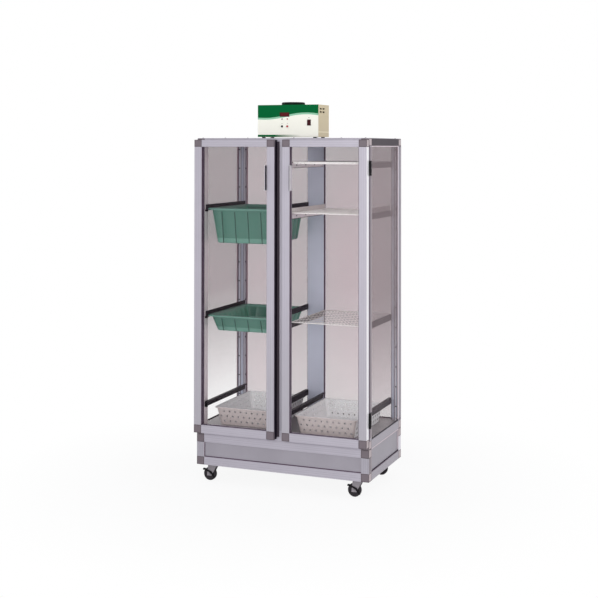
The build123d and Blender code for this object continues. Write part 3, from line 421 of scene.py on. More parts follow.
@dataclass(frozen=True)
class Moulded:
    """Moulded or painted surface with a fine grain and slight clouding."""

    name: str
    colour: Colour
    roughness: float = 0.5
    grain_scale: float = 900.0
    grain_depth: float = 0.00008
    cloud: float = 0.08
    coat: float = 0.0
    specular: float = 0.5

    def make(self) -> bpy.types.Material:
        """Builds the material.

        Returns:
            The material.
        """
        recipe = Recipe(self.name)
        cloud = recipe.noise(5.0, 4.0)
        dark, pale = shade(self.colour, 1 - self.cloud), shade(self.colour, 1 + self.cloud)
        recipe.set(
            Base_Color=recipe.mix(cloud.between(0.3, 0.7), dark, pale),
            Roughness=cloud.around(self.roughness, 0.14),
            Coat_Weight=self.coat,
            Specular_IOR_Level=self.specular,
        )
        return recipe.bump(recipe.noise(self.grain_scale, 2.0), self.grain_depth, 0.5).material


@dataclass(frozen=True)
class Speckled:
    """Coated surface with fine flecks, and painted shade that darkens the walls' outer side."""

    name: str
    colour: Colour
    # outer: painted shade, the darker colour of the walls' outer side
    outer: Colour
    fleck: Colour
    scale: float = 420.0
    amount: Pair = (0.6, 0.68)
    tone: float = 0.97
    roughness: float = 0.45
    relief: float = 0.0001

    def make(self) -> bpy.types.Material:
        """Builds the material.

        Returns:
            The material.
        """
        recipe = Recipe(self.name)
        flecks = recipe.noise(self.scale, 1.0)
        cloud = recipe.noise(9.0, 3.0)
        # painted shade on the walls' outer side
        shaded_outside = (recipe.axis("Y") * recipe.normal("Y")).above(0.1)
        base = recipe.dimmed(recipe.mix(shaded_outside, self.colour, self.outer), cloud.around(self.tone, 0.1))
        recipe.set(
            Base_Color=recipe.mix(flecks.between(*self.amount), base, self.fleck),
            Roughness=cloud.around(self.roughness, 0.1),
        )
        return recipe.bump(flecks, self.relief, 0.5).material


@dataclass(frozen=True)
class SmokyPane:
    """Smoky acrylic that grows clearer towards the floor as painted reflection, with painted light on the faces
    that look into the cabinet.
    """

    name: str
    colour: Colour
    # painted light: the lighter tone of faces that look into the cabinet
    inner_lit_colour: Colour
    side_alpha: Pair
    back_alpha: Pair
    # fade: heights over which the painted reflection takes the panes from clear to smoky
    fade: Pair
    back_from: float = 0.265
    haze: float = 0.03
    roughness: float = 0.16

    def make(self) -> bpy.types.Material:
        """Builds the material.

        Returns:
            The material.
        """
        recipe = Recipe(self.name)
        # painted reflection: the panes grow clearer towards the floor
        height = recipe.axis("Z").between(*self.fade)
        back = recipe.axis("Y").above(self.back_from)
        side_within = (0 - recipe.axis("X") * recipe.normal("X")).above(0.1)
        within = back * (1 - recipe.normal("Y").above(0.5)) + (1 - back) * side_within
        haze = recipe.noise(3.0, 5.0)
        side, rear = (height * (high - low) + low for low, high in (self.side_alpha, self.back_alpha))
        # painted light: faces that look into the cabinet take the lighter inner colour
        recipe.set(
            Base_Color=recipe.dimmed(recipe.mix(within, self.colour, self.inner_lit_colour), haze.around(1.0, 0.1)),
            Alpha=side * (1 - back) + rear * back + haze.around(0.0, self.haze),
            Roughness=haze.around(self.roughness, 0.08),
        )
        return recipe.material


@dataclass(frozen=True)
class WaveFascia:
    """The control unit's front: a dark field above a pale one, parted by one gentle wave."""

    name: str
    upper: Colour
    band: Colour
    lower: Colour
    middle: float
    swing: float
    length: float
    shift: float
    band_high: float
    foot: Pair
    foot_fade: Pair
    soft: float = 0.0004
    roughness: float = 0.56
    specular: float = 0.05

    def make(self) -> bpy.types.Material:
        """Builds the material.

        Returns:
            The material.
        """
        recipe = Recipe(self.name)
        across, height = recipe.axis("X"), recipe.axis("Z")
        wave = ((across - self.shift) * (2 * math.pi / self.length)).sine() * self.swing + self.middle
        edge = height - wave
        lower = recipe.mix(edge.between(-self.band_high, -self.band_high + self.soft), self.lower, self.band)
        face = recipe.mix(edge.between(0.0, self.soft), lower, self.upper)
        above, below = height.above(self.foot[0]), 1 - height.above(self.foot[1])
        strip = below * (1 - across.between(*self.foot_fade)) * above
        recipe.set(
            Base_Color=recipe.mix(strip, face, self.upper),
            Roughness=recipe.noise(12.0, 3.0).around(self.roughness, 0.12),
            Specular_IOR_Level=self.specular,
        )
        return recipe.bump(recipe.noise(800.0, 2.0), 0.00006, 0.4).material


LAVENDER = linear(180, 175, 186)
GREEN = linear(0, 100, 52)
BLACK = linear(34, 27, 40)


class Paint:
    """Every finish of the cabinet, made once."""

    def __init__(self, bands: tuple[Pair, ...]) -> None:
        """Makes the finishes.

        Args:
            bands: Height ranges in which the profiles run level.
        """
        made = (*self.metals(bands), *self.body_parts(), *self.contents(), *self.unit_parts(), *self.panes())
        self.by_name = {finish.name: finish.make() for finish in made}

    def metals(self, bands: tuple[Pair, ...]) -> tuple[Finish, ...]:
        """Profiles and sheets of aluminium and zinc-plated steel.

        Args:
            bands: Height ranges in which the profiles run level.

        Returns:
            The finishes.
        """
        return (
            # The profiles' foot, flank, rear and inner colours are painted light and shade on one anodised
            # colour.
            Extrusion(
                "anodised_profile", bands, face=LAVENDER, foot=linear(166, 162, 172),
                flank=linear(132, 122, 130), rear_flank_lighting=linear(226, 222, 230), level_flank_lighting=linear(166, 160, 170),
                inner_rear_lighting=linear(186, 190, 206), inner_flank_lighting=linear(235, 222, 226),
                inner_rear_flank_lighting=linear(216, 216, 226),
            ),
            Extrusion(
                "door_profile", bands, face=LAVENDER, foot=linear(174, 170, 178),
                flank=linear(250, 248, 252), rear_flank_lighting=linear(250, 248, 252), level_flank_lighting=linear(205, 196, 202),
                inner_rear_lighting=LAVENDER, inner_flank_lighting=linear(120, 110, 124), inner_rear_flank_lighting=LAVENDER,
            ),
            DrawnMetal("anodised_roof", LAVENDER),
            DrawnMetal("brushed_floor", linear(170, 164, 166), metallic=0.3, roughness=0.45),
            DrawnMetal("zinc_plate", linear(140, 134, 140), metallic=0.5, roughness=0.42),
            Banded(
                "silver_profile", linear(250, 244, 248), flank=linear(44, 38, 48), stripe=linear(60, 54, 62),
                stripes=((1.3109, 1.3132), (1.3368, 1.3392), (1.5589, 1.5612), (1.5848, 1.5872)),
                flank_beyond=0.4093, roughness=0.4, metallic=0.2,
            ),
        )

    def body_parts(self) -> tuple[Finish, ...]:
        """Paint, plastic and rubber of the carcass, the doors and the casters.

        Returns:
            The finishes.
        """
        seal = linear(214, 200, 206)
        paint = {"grain_scale": 500.0, "grain_depth": 0.00006}
        return (
            # painted light: the pale flank colour lights the blocks' outer sides
            Banded(
                "corner_plastic", linear(112, 101, 108), flank=linear(190, 176, 179), stripe=BLACK,
                flank_beyond=0.43, roughness=0.5,
            ),
            Banded(
                "wall_seal", seal, flank=seal, stripe=BLACK, stripes=((0.276, 0.286), (0.124, 0.134)),
                roughness=0.6,
            ),
            Moulded("seam_line", linear(74, 64, 70), 0.6),
            Moulded("panel_paint", linear(156, 151, 160), 0.42, **paint),
            Moulded("column_paint", linear(224, 227, 244), 0.4, **paint),
            Moulded("pale_edge", linear(222, 218, 224), 0.4),
            Moulded("black_rubber", BLACK, 0.62, specular=0.1),
            # also serves as painted shade in the base panels' lines
            Moulded("plum_rubber", linear(92, 76, 92), 0.6, specular=0.15),
            Moulded("dark_rail", linear(40, 34, 42), specular=0.15),
            Moulded("dark_profile", linear(64, 55, 64), specular=0.2),
            Moulded(
                "black_plastic", linear(16, 14, 18), 0.45, grain_scale=800.0, grain_depth=0.0001, specular=0.12,
            ),
            Moulded("wheel_grey", linear(52, 48, 52), 0.6, grain_scale=600.0, grain_depth=0.0002, specular=0.15),
            Moulded("filter_mat", linear(222, 224, 220), 0.9, grain_scale=260.0, grain_depth=0.001),
        )

    def contents(self) -> tuple[Finish, ...]:
        """Finishes of baskets, trays and racks.

        Returns:
            The finishes.
        """
        rack = linear(248, 243, 240)
        return (
            # painted light: the paler flank colour lights the baskets' sides
            Banded(
                "basket_green", linear(76, 122, 108), flank=linear(104, 164, 142), stripe=linear(104, 150, 136),
                stripes=((1.3463, 1.3560), (0.8163, 0.8260), (1.1800, 1.2080), (0.7450, 0.7680)), roughness=0.4,
            ),
            Moulded("basket_line", linear(24, 62, 52)),
            # painted shade round the trays' holes
            Moulded("eyelet_grey", linear(112, 102, 104), 0.6),
            # painted shade: the darker second colour is the trays' outer walls in shade
            Speckled("white_tray", linear(252, 251, 252), linear(208, 196, 194), linear(176, 164, 160)),
            Speckled("white_rack", rack, rack, linear(170, 160, 160), scale=300.0),
        )

    def unit_parts(self) -> tuple[Finish, ...]:
        """Finishes of the control unit.

        Returns:
            The finishes.
        """
        beige = linear(224, 209, 173)
        return (
            Banded(
                "unit_beige", beige, flank=beige, stripe=linear(255, 244, 212), stripes=((1.7335, 1.7375),),
                roughness=0.5,
            ),
            Moulded("cap_green", linear(2, 22, 14), specular=0.1),
            Moulded(
                "display_red", linear(64, 8, 18), 0.3, grain_scale=300.0, grain_depth=0.00002, cloud=0.1,
                coat=0.05, specular=0.15,
            ),
            Moulded("lit_segment", linear(140, 16, 26), 0.3, specular=0.1),
            Moulded(
                "red_plastic", linear(176, 26, 36), 0.3, grain_scale=700.0, grain_depth=0.00004, cloud=0.05,
                coat=0.3,
            ),
            WaveFascia(
                "fascia", upper=GREEN, band=linear(150, 206, 174), lower=linear(255, 254, 242), middle=1.8175,
                swing=0.0125, length=0.43, shift=-0.012, band_high=0.009, foot=(1.7115, 1.722),
                foot_fade=(-0.07, 0.07),
            ),
        )

    def panes(self) -> tuple[Finish, ...]:
        """Clear walls and windows.

        Returns:
            The finishes.
        """
        pale = linear(150, 130, 140)
        return (
            # the lighter inner colour is painted light, and the fade with height painted reflection
            SmokyPane(
                "smoky_pane", linear(110, 80, 90), linear(180, 122, 142), side_alpha=(0.05, 0.46),
                back_alpha=(0.25, 0.38), fade=(0.35, 0.95),
            ),
            SmokyPane(
                "clear_window", pale, pale, side_alpha=(0.012, 0.02), back_alpha=(0.012, 0.02), fade=(0.35, 1.5),
            ),
        )

    def __getitem__(self, name: str) -> bpy.types.Material:
        """The material of that name."""
        return self.by_name[name]

    def dress(self, thing: bpy.types.Object, name: str) -> bpy.types.Object:
        """Gives an object one finish.

        Args:
            thing: The object.
            name: The finish's name.

        Returns:
            The same object.
        """
        thing.data.materials.clear()
        thing.data.materials.append(self.by_name[name])
        return thing


def linked(name: str, mesh: bpy.types.Mesh) -> bpy.types.Object:
    """A new object in the scene, at the origin.

    Args:
        name: The object's name.
        mesh: Its mesh.

    Returns:
        The object.
    """
    made = bpy.data.objects.new(name, mesh)
    bpy.context.scene.collection.objects.link(made)
    return made


def as_object(name: str, shape: bmesh.types.BMesh) -> bpy.types.Object:
    """Turns a bmesh into a linked object at the origin.

    Args:
        name: The piece's name.
        shape: Its mesh, which is freed.

    Returns:
        The new object.
    """
    bmesh.ops.recalc_face_normals(shape, faces=shape.faces)
    mesh = bpy.data.meshes.new(name)
    shape.to_mesh(mesh)
    shape.free()
    mesh.shade_flat()
    return linked(name, mesh)


def add_box(shape: bmesh.types.BMesh, low: Point, high: Point, bevel: float = 0.0) -> None:
    """Adds a box between two corners, with rounded edges where a bevel is given.

    Args:
        shape: The mesh that gets the box.
        low: Its lowest corner.
        high: Its highest corner.
        bevel: How far its edges are rounded.
    """
    middle = (Vector(low) + Vector(high)) / 2
    size = Vector(high) - Vector(low)
    place = Matrix.Translation(middle) @ Matrix.Diagonal((*size, 1))
    made = bmesh.ops.create_cube(shape, size=1.0, matrix=place)
    if bevel:
        edges = {e for v in made["verts"] for e in v.link_edges}
        bmesh.ops.bevel(shape, geom=list(edges), offset=bevel, segments=2, affect="EDGES", profile=0.5)


def mirrored(side: int, near: float, far: float) -> Pair:
    """Two places on one side of the middle, the lower first."""
    return tuple(sorted((side * near, side * far)))


def ring_points(radius: float, steps: int) -> list[Pair]:
    """Points round a circle about the origin."""
    angles = [2 * math.pi * i / steps for i in range(steps)]
    return [(radius * math.cos(a), radius * math.sin(a)) for a in angles]


def turned(outline: Sequence[Pair], steps: int, place: Matrix) -> bmesh.types.BMesh:
    """A closed solid of revolution about +Z.

    Args:
        outline: Radius and height pairs from the axis to the axis.
        steps: Segments round the axis.
        place: Where the solid goes.

    Returns:
        The mesh.
    """
    shape = bmesh.new()
    rings = []
    for radius, height in outline:
        if radius == 0:
            rings.append([shape.verts.new((0, 0, height))])
            continue
        rings.append([shape.verts.new((x, y, height)) for x, y in ring_points(radius, steps)])
    for lower, upper in zip(rings, rings[1:]):
        for i in range(steps):
            j = (i + 1) % steps
            corners = [lower[i % len(lower)], lower[j % len(lower)], upper[j % len(upper)], upper[i % len(upper)]]
            shape.faces.new(list(dict.fromkeys(corners)))
    bmesh.ops.transform(shape, matrix=place, verts=shape.verts)
    return shape


@dataclass(frozen=True)
class Row:
    """Places on one straight line."""

    start: Point
    step: Point
    count: int


class Repeater:
    """A Geometry Nodes tree that sets one piece along a row."""

    def __init__(self) -> None:
        """Builds the tree with its named inputs."""
        tree = bpy.data.node_groups.new("pieces_in_a_row", "GeometryNodeTree")
        face = tree.interface
        for name, kind in (
            ("Piece", "NodeSocketObject"), ("Start", "NodeSocketVector"), ("Step", "NodeSocketVector"),
            ("Count", "NodeSocketInt"), ("Finish", "NodeSocketMaterial"),
        ):
            face.new_socket(name, in_out="INPUT", socket_type=kind)
        face.new_socket("Geometry", in_out="OUTPUT", socket_type="NodeSocketGeometry")
        nodes, links = tree.nodes, tree.links
        given, out = nodes.new("NodeGroupInput"), nodes.new("NodeGroupOutput")
        line, info = nodes.new("GeometryNodeMeshLine"), nodes.new("GeometryNodeObjectInfo")
        stand, real = nodes.new("GeometryNodeInstanceOnPoints"), nodes.new("GeometryNodeRealizeInstances")
        paint = nodes.new("GeometryNodeSetMaterial")
        links.new(given.outputs["Piece"], info.inputs["Object"])
        links.new(given.outputs["Start"], line.inputs["Start Location"])
        links.new(given.outputs["Step"], line.inputs["Offset"])
        links.new(given.outputs["Count"], line.inputs["Count"])
        links.new(line.outputs["Mesh"], stand.inputs["Points"])
        links.new(info.outputs["Geometry"], stand.inputs["Instance"])
        links.new(stand.outputs["Instances"], real.inputs["Geometry"])
        links.new(real.outputs["Geometry"], paint.inputs["Geometry"])
        links.new(given.outputs["Finish"], paint.inputs["Material"])
        links.new(paint.outputs["Geometry"], out.inputs["Geometry"])
        self.tree = tree
        self.sockets = {item.name: item.identifier for item in face.items_tree if item.in_out == "INPUT"}

    def lay(self, name: str, piece: bmesh.types.BMesh, rows: Iterable[Row],
            finish: bpy.types.Material) -> bpy.types.Object:
        """Sets a piece along every row, as one plain mesh.

        Args:
            name: The result's name.
            piece: The mesh that is repeated, about the origin.
            rows: Where it goes.
            finish: Its material.

        Returns:
            The finished object.
        """
        source = as_object(name + "_source", piece)
        whole = bmesh.new()
        for row in rows:
            carrier = linked(name + "_row", bpy.data.meshes.new(name + "_row"))
            modifier = carrier.modifiers.new("row", "NODES")
            modifier.node_group = self.tree
            values = {"Piece": source, "Start": row.start, "Step": row.step, "Count": row.count, "Finish": finish}
            for key, value in values.items():
                modifier[self.sockets[key]] = value
            graph = bpy.context.evaluated_depsgraph_get()
            mesh = bpy.data.meshes.new_from_object(carrier.evaluated_get(graph))
            whole.from_mesh(mesh)
            bpy.data.objects.remove(carrier)
        bpy.data.objects.remove(source)
        mesh = bpy.data.meshes.new(name)
        whole.to_mesh(mesh)
        whole.free()
        mesh.materials.append(finish)
        return linked(name, mesh)


def settle(piece: bpy.types.Object, body: str, slot: str) -> None:
    """Sets a finished piece on its body and reports it.

    Args:
        piece: The piece.
        body: The body, or a node on it, that the piece moves with.
        slot: The material group that it belongs to; not used.
    """
    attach(piece, body)
    LOG.info("piece %s on %s", piece.name, body)


def screw_head(radius: float, facing: Facing) -> bmesh.types.BMesh:
    """A domed screw head with a hexagon socket, its back at the origin.

    Args:
        radius: Its radius.
        facing: Which way it looks.

    Returns:
        The mesh.
    """
    outline = [
        (0, 0), (radius, 0), (radius, radius * 0.35), (radius * 0.8, radius * 0.6),
        (radius * 0.45, radius * 0.66), (radius * 0.45, radius * 0.25), (0, radius * 0.25),
    ]
    return turned(outline, 12, facing.turn())


def bar(length: float, radius: float, facing: Facing, steps: int = 8) -> bmesh.types.BMesh:
    """A round wire or bar with eased ends, centred on the origin.

    Args:
        length: From end to end.
        radius: Its radius.
        facing: Which way it runs.
        steps: Segments round it.

    Returns:
        The mesh.
    """
    half, ease = length / 2, radius * 0.3
    outline = [(0, -half), (radius - ease, -half), (radius, -half + ease), (radius, half - ease)]
    outline += [(radius - ease, half), (0, half)]
    return turned(outline, steps, facing.turn())


def shade_ring(inner: float, outer: float, thick: float, facing: Facing, lean: float) -> bmesh.types.BMesh:
    """A flat ring of painted shade round a hole in a leaning wall, its back at the origin.

    Args:
        inner: The hole's radius.
        outer: The ring's radius.
        thick: Its thickness.
        facing: Which way it looks.
        lean: How far it looks down, in radians.

    Returns:
        The mesh.
    """
    shape = bmesh.new()
    steps = 12
    rings = []
    for radius, height in ((inner, 0.0), (outer, 0.0), (outer, thick), (inner, thick)):
        rings.append([shape.verts.new((x, y, height)) for x, y in ring_points(radius, steps)])
    for ring, following in zip(rings, rings[1:] + rings[:1]):
        for i in range(steps):
            j = (i + 1) % steps
            shape.faces.new((ring[i], ring[j], following[j], following[i]))
    out = Vector(facing.value)
    down = Matrix.Rotation(lean, 4, out.cross(Vector((0, 0, -1))))
    bmesh.ops.transform(shape, matrix=down @ facing.turn(), verts=shape.verts)
    return shape


def fit(paint: Paint, name: str, shape: bmesh.types.BMesh, finish: str, place: tuple[str, str]) -> None:
    """Makes one small piece and sets it on its body.

    Args:
        paint: The finishes.
        name: The piece's name.
        shape: Its mesh, which is freed.
        finish: The name of its finish.
        place: Its body and its material group.
    """
    settle(paint.dress(as_object(name, shape), finish), *place)


@dataclass
class Tray:
    """Rings of painted shade round the holes of a perforated tray."""

    node: str
    rim: float = 0.006
    draft: float = 0.017
    hole: float = 0.004
    ring: float = 0.0017
    ring_thick: float = 0.0005
    ring_off: float = 0.0001
    rows: tuple[float, ...] = (0.22, 0.5, 0.78)
    across: int = 9
    along: int = 12
    end_room: float = 0.022
    shift: float = 0.25  # how far a row is moved along, in pitches

    def build(self, paint: Paint, repeater: Repeater) -> None:
        """Adds the rings on all four walls.

        Args:
            paint: The finishes.
            repeater: The tree that repeats the rings.
        """
        low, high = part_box(self.node)
        tall = high.z - low.z
        lean = math.atan2(self.draft, tall)
        middle = (low + high) / 2
        for facing in (Facing.FRONT, Facing.BACK, Facing.LEFT, Facing.RIGHT):
            out = Vector(facing.value)
            across = out.x == 0
            half = (high.y - low.y) / 2 if across else (high.x - low.x) / 2
            length = (high.x - low.x) if across else (high.y - low.y)
            count = self.across if across else self.along
            pitch = (length - 2 * self.rim - 2 * self.end_room) / count
            step = Vector((pitch, 0, 0)) if across else Vector((0, pitch, 0))
            rows = []
            for index, share in enumerate(self.rows):
                rise = tall * share
                reach = half - self.rim - self.draft * (1 - share)
                sign = (-1) ** index
                start = middle + out * (reach + self.ring_off) + step * (self.shift * sign - (count - 1) / 2)
                rows.append(Row((start.x, start.y, low.z + rise), tuple(step), count))
            # painted shade: dark rings stand for the shade inside the holes
            piece = shade_ring(self.hole, self.hole + self.ring, self.ring_thick, facing, lean)
            name = f"{self.node}_eyelets_{facing.name.lower()}"
            settle(repeater.lay(name, piece, rows, paint["eyelet_grey"]), self.node, "white_plastic")


@dataclass
class Basket:
    """A ribbed, tapered tub with a rolled rim, in the place of its plain solid."""

    node: str
    rim_wide: float = 0.015  # the rim's width outside the mouth
    draft: float = 0.022  # how much narrower the foot is, each side
    wall: float = 0.0025
    corner: float = 0.018
    corner_least: float = 0.004
    corner_shrink: float = 0.3  # share of the inset that comes off the corners' radius
    corner_steps: int = 6
    ribs_front: int = 4
    ribs_side: int = 7
    front_pitch: float = 0.070
    side_pitch: float = 0.0545
    groove: float = 0.0016
    groove_wide: float = 0.0046
    collar: float = 0.016
    collar_ease: float = 0.004
    collar_step: float = 0.001
    foot_round: float = 0.007
    foot_steps: int = 3
    mouth_roll: tuple[Pair, ...] = ((0.002, 0.0), (0.0004, 0.0012), (0.0, 0.003))  # drop and way out
    rim_roll: tuple[Pair, ...] = ((0.0, 0.0012), (0.0012, 0.0), (0.0042, 0.0))  # drop and way in from the edge
    crease: float = 42.0  # sharpest angle in degrees that stays smooth

    def grooves(self, side: int) -> tuple[int, float]:
        """How many grooves a side has and how far apart they are. Sides 0 and 2 are front and back."""
        return (self.ribs_front, self.front_pitch) if side % 2 == 0 else (self.ribs_side, self.side_pitch)

    def outline(self, half: Pair, radius: float, depth: float) -> list[Pair]:
        """Points round the tub at one height.

        Args:
            half: Half sizes along X and Y.
            radius: The corners' radius.
            depth: How deep the grooves are here.

        Returns:
            Points from the front edge's left end, counter-clockwise.
        """
        points: list[Pair] = []
        for side in range(4):
            along, out = (half[0], half[1]) if side % 2 == 0 else (half[1], half[0])
            count, pitch = self.grooves(side)
            flat = along - radius
            places = [(-flat, 0.0)]
            for rib in range(count):
                at = pitch * (rib - (count - 1) / 2)
                wide = self.groove_wide
                places += [(at - wide, 0.0), (at - wide / 2, depth), (at + wide / 2, depth), (at + wide, 0.0)]
            places.append((flat, 0.0))
            local = [(a, -out + d) for a, d in places]
            for step in range(1, self.corner_steps):
                angle = math.pi / (2 * self.corner_steps) * step - math.pi / 2
                local.append((flat + radius * math.cos(angle), -out + radius + radius * math.sin(angle)))
            cos, sin = math.cos(side * math.pi / 2), math.sin(side * math.pi / 2)
            points += [(a * cos - b * sin, a * sin + b * cos) for a, b in local]
        return points

    def groove_floors(self) -> set[int]:
        """Places in the outline at which a groove's floor starts.

        Returns:
            Their numbers in one ring.
        """
        floors: set[int] = set()
        start = 0
        for side in range(4):
            count = self.grooves(side)[0]
            floors |= {start + 2 + 4 * rib for rib in range(count)}
            start += 4 * count + 1 + self.corner_steps
        return floors

    def levels(self, tall: float) -> list[Point]:
        """Height, inset and groove depth of every ring, from the foot over the rim to its inner lip.

        Args:
            tall: The tub's height.

        Returns:
            One entry for each ring.
        """
        found = [(0.0, self.draft + self.foot_round, 0.0)]
        for step in range(1, self.foot_steps + 1):
            angle = math.pi / (2 * self.foot_steps) * step
            rise, inset = 1 - math.cos(angle), self.foot_round * (1 - math.sin(angle))
            found.append((self.foot_round * rise, self.draft + inset, self.groove * rise))
        collar = tall - self.collar
        inset = self.draft * (1 - collar / tall)
        found += [(collar - self.collar_ease, inset, self.groove), (collar, inset - self.collar_step, 0.0)]
        found += [(tall - drop, -out, 0.0) for drop, out in self.mouth_roll]
        found += [(tall - drop, back - self.rim_wide, 0.0) for drop, back in self.rim_roll]
        return found

    def build(self, paint: Paint) -> None:
        """Makes the tub in the place of its node.

        Args:
            paint: The finishes.
        """
        low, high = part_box(self.node)
        middle = (low + high) / 2
        mouth = ((high.x - low.x) / 2 - self.rim_wide, (high.y - low.y) / 2 - self.rim_wide)
        levels = self.levels(high.z - low.z)
        shape = bmesh.new()
        rings = []
        for height, inset, depth in levels:
            radius = max(self.corner_least, self.corner - inset * self.corner_shrink)
            ring = self.outline((mouth[0] - inset, mouth[1] - inset), radius, depth)
            rings.append([shape.verts.new((middle.x + x, middle.y + y, low.z + height)) for x, y in ring])
        floors, marks = self.groove_floors(), []
        for (_, _, depth), lower, upper in zip(levels, rings, rings[1:]):
            for i in range(len(lower)):
                j = (i + 1) % len(lower)
                shape.faces.new((lower[i], lower[j], upper[j], upper[i]))
                marks.append(int(i in floors and depth > 0))
        shape.faces.new(list(reversed(rings[0])))
        marks.append(0)
        mesh = bpy.data.meshes.new(self.node + "_shell")
        shape.to_mesh(mesh)
        shape.free()
        mesh.shade_smooth()
        made = paint.dress(linked(self.node + "_shell", mesh), "basket_green")
        mesh.materials.append(paint["basket_line"])
        mesh.polygons.foreach_set("material_index", marks)
        wall = made.modifiers.new("wall", "SOLIDIFY")
        wall.thickness, wall.offset, wall.material_offset = self.wall, -1.0, -1
        made.modifiers.new("edges", "EDGE_SPLIT").split_angle = math.radians(self.crease)
        settle(made, self.node, "green_basket")
        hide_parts(self.node)


@dataclass
class WireRack:
    """A flat rack of welded, coated wires on a round frame."""

    node: str
    edge_wire: float = 0.0025
    fine_wire: float = 0.0012
    pitch: float = 0.0165
    cross_pitch: float = 0.058

    def build(self, paint: Paint, repeater: Repeater) -> None:
        """Makes the rack in the place of its node.

        Args:
            paint: The finishes.
            repeater: The tree that repeats the wires.
        """
        low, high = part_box(self.node)
        size, middle = high - low, (low + high) / 2
        finish = paint["white_rack"]
        top = low.z + 2 * self.edge_wire
        rows_long = int((size.x - 4 * self.edge_wire) / self.pitch)
        rows_cross = int((size.y - 4 * self.edge_wire) / self.cross_pitch)
        start = middle.x - self.pitch * (rows_long - 1) / 2
        begin = middle.y - self.cross_pitch * (rows_cross - 1) / 2
        edge, thin = self.edge_wire, self.fine_wire
        parts = [
            repeater.lay(self.node + "_long_wires", bar(size.y - 2 * edge, thin, Facing.BACK),
                         [Row((start, middle.y, top - thin), (self.pitch, 0, 0), rows_long)], finish),
            repeater.lay(self.node + "_cross_wires", bar(size.x - 2 * edge, thin, Facing.RIGHT),
                         [Row((middle.x, begin, top - 3 * thin), (0, self.cross_pitch, 0), rows_cross)], finish),
            repeater.lay(self.node + "_side_bars", bar(size.y, edge, Facing.BACK, 12),
                         [Row((low.x + edge, middle.y, low.z + edge), (size.x - 2 * edge, 0, 0), 2)], finish),
            repeater.lay(self.node + "_end_bars", bar(size.x, edge, Facing.RIGHT, 12),
                         [Row((middle.x, low.y + edge, low.z + edge), (0, size.y - 2 * edge, 0), 2)], finish),
        ]
        for part in parts:
            settle(part, self.node, "white_plastic")
        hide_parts(self.node)


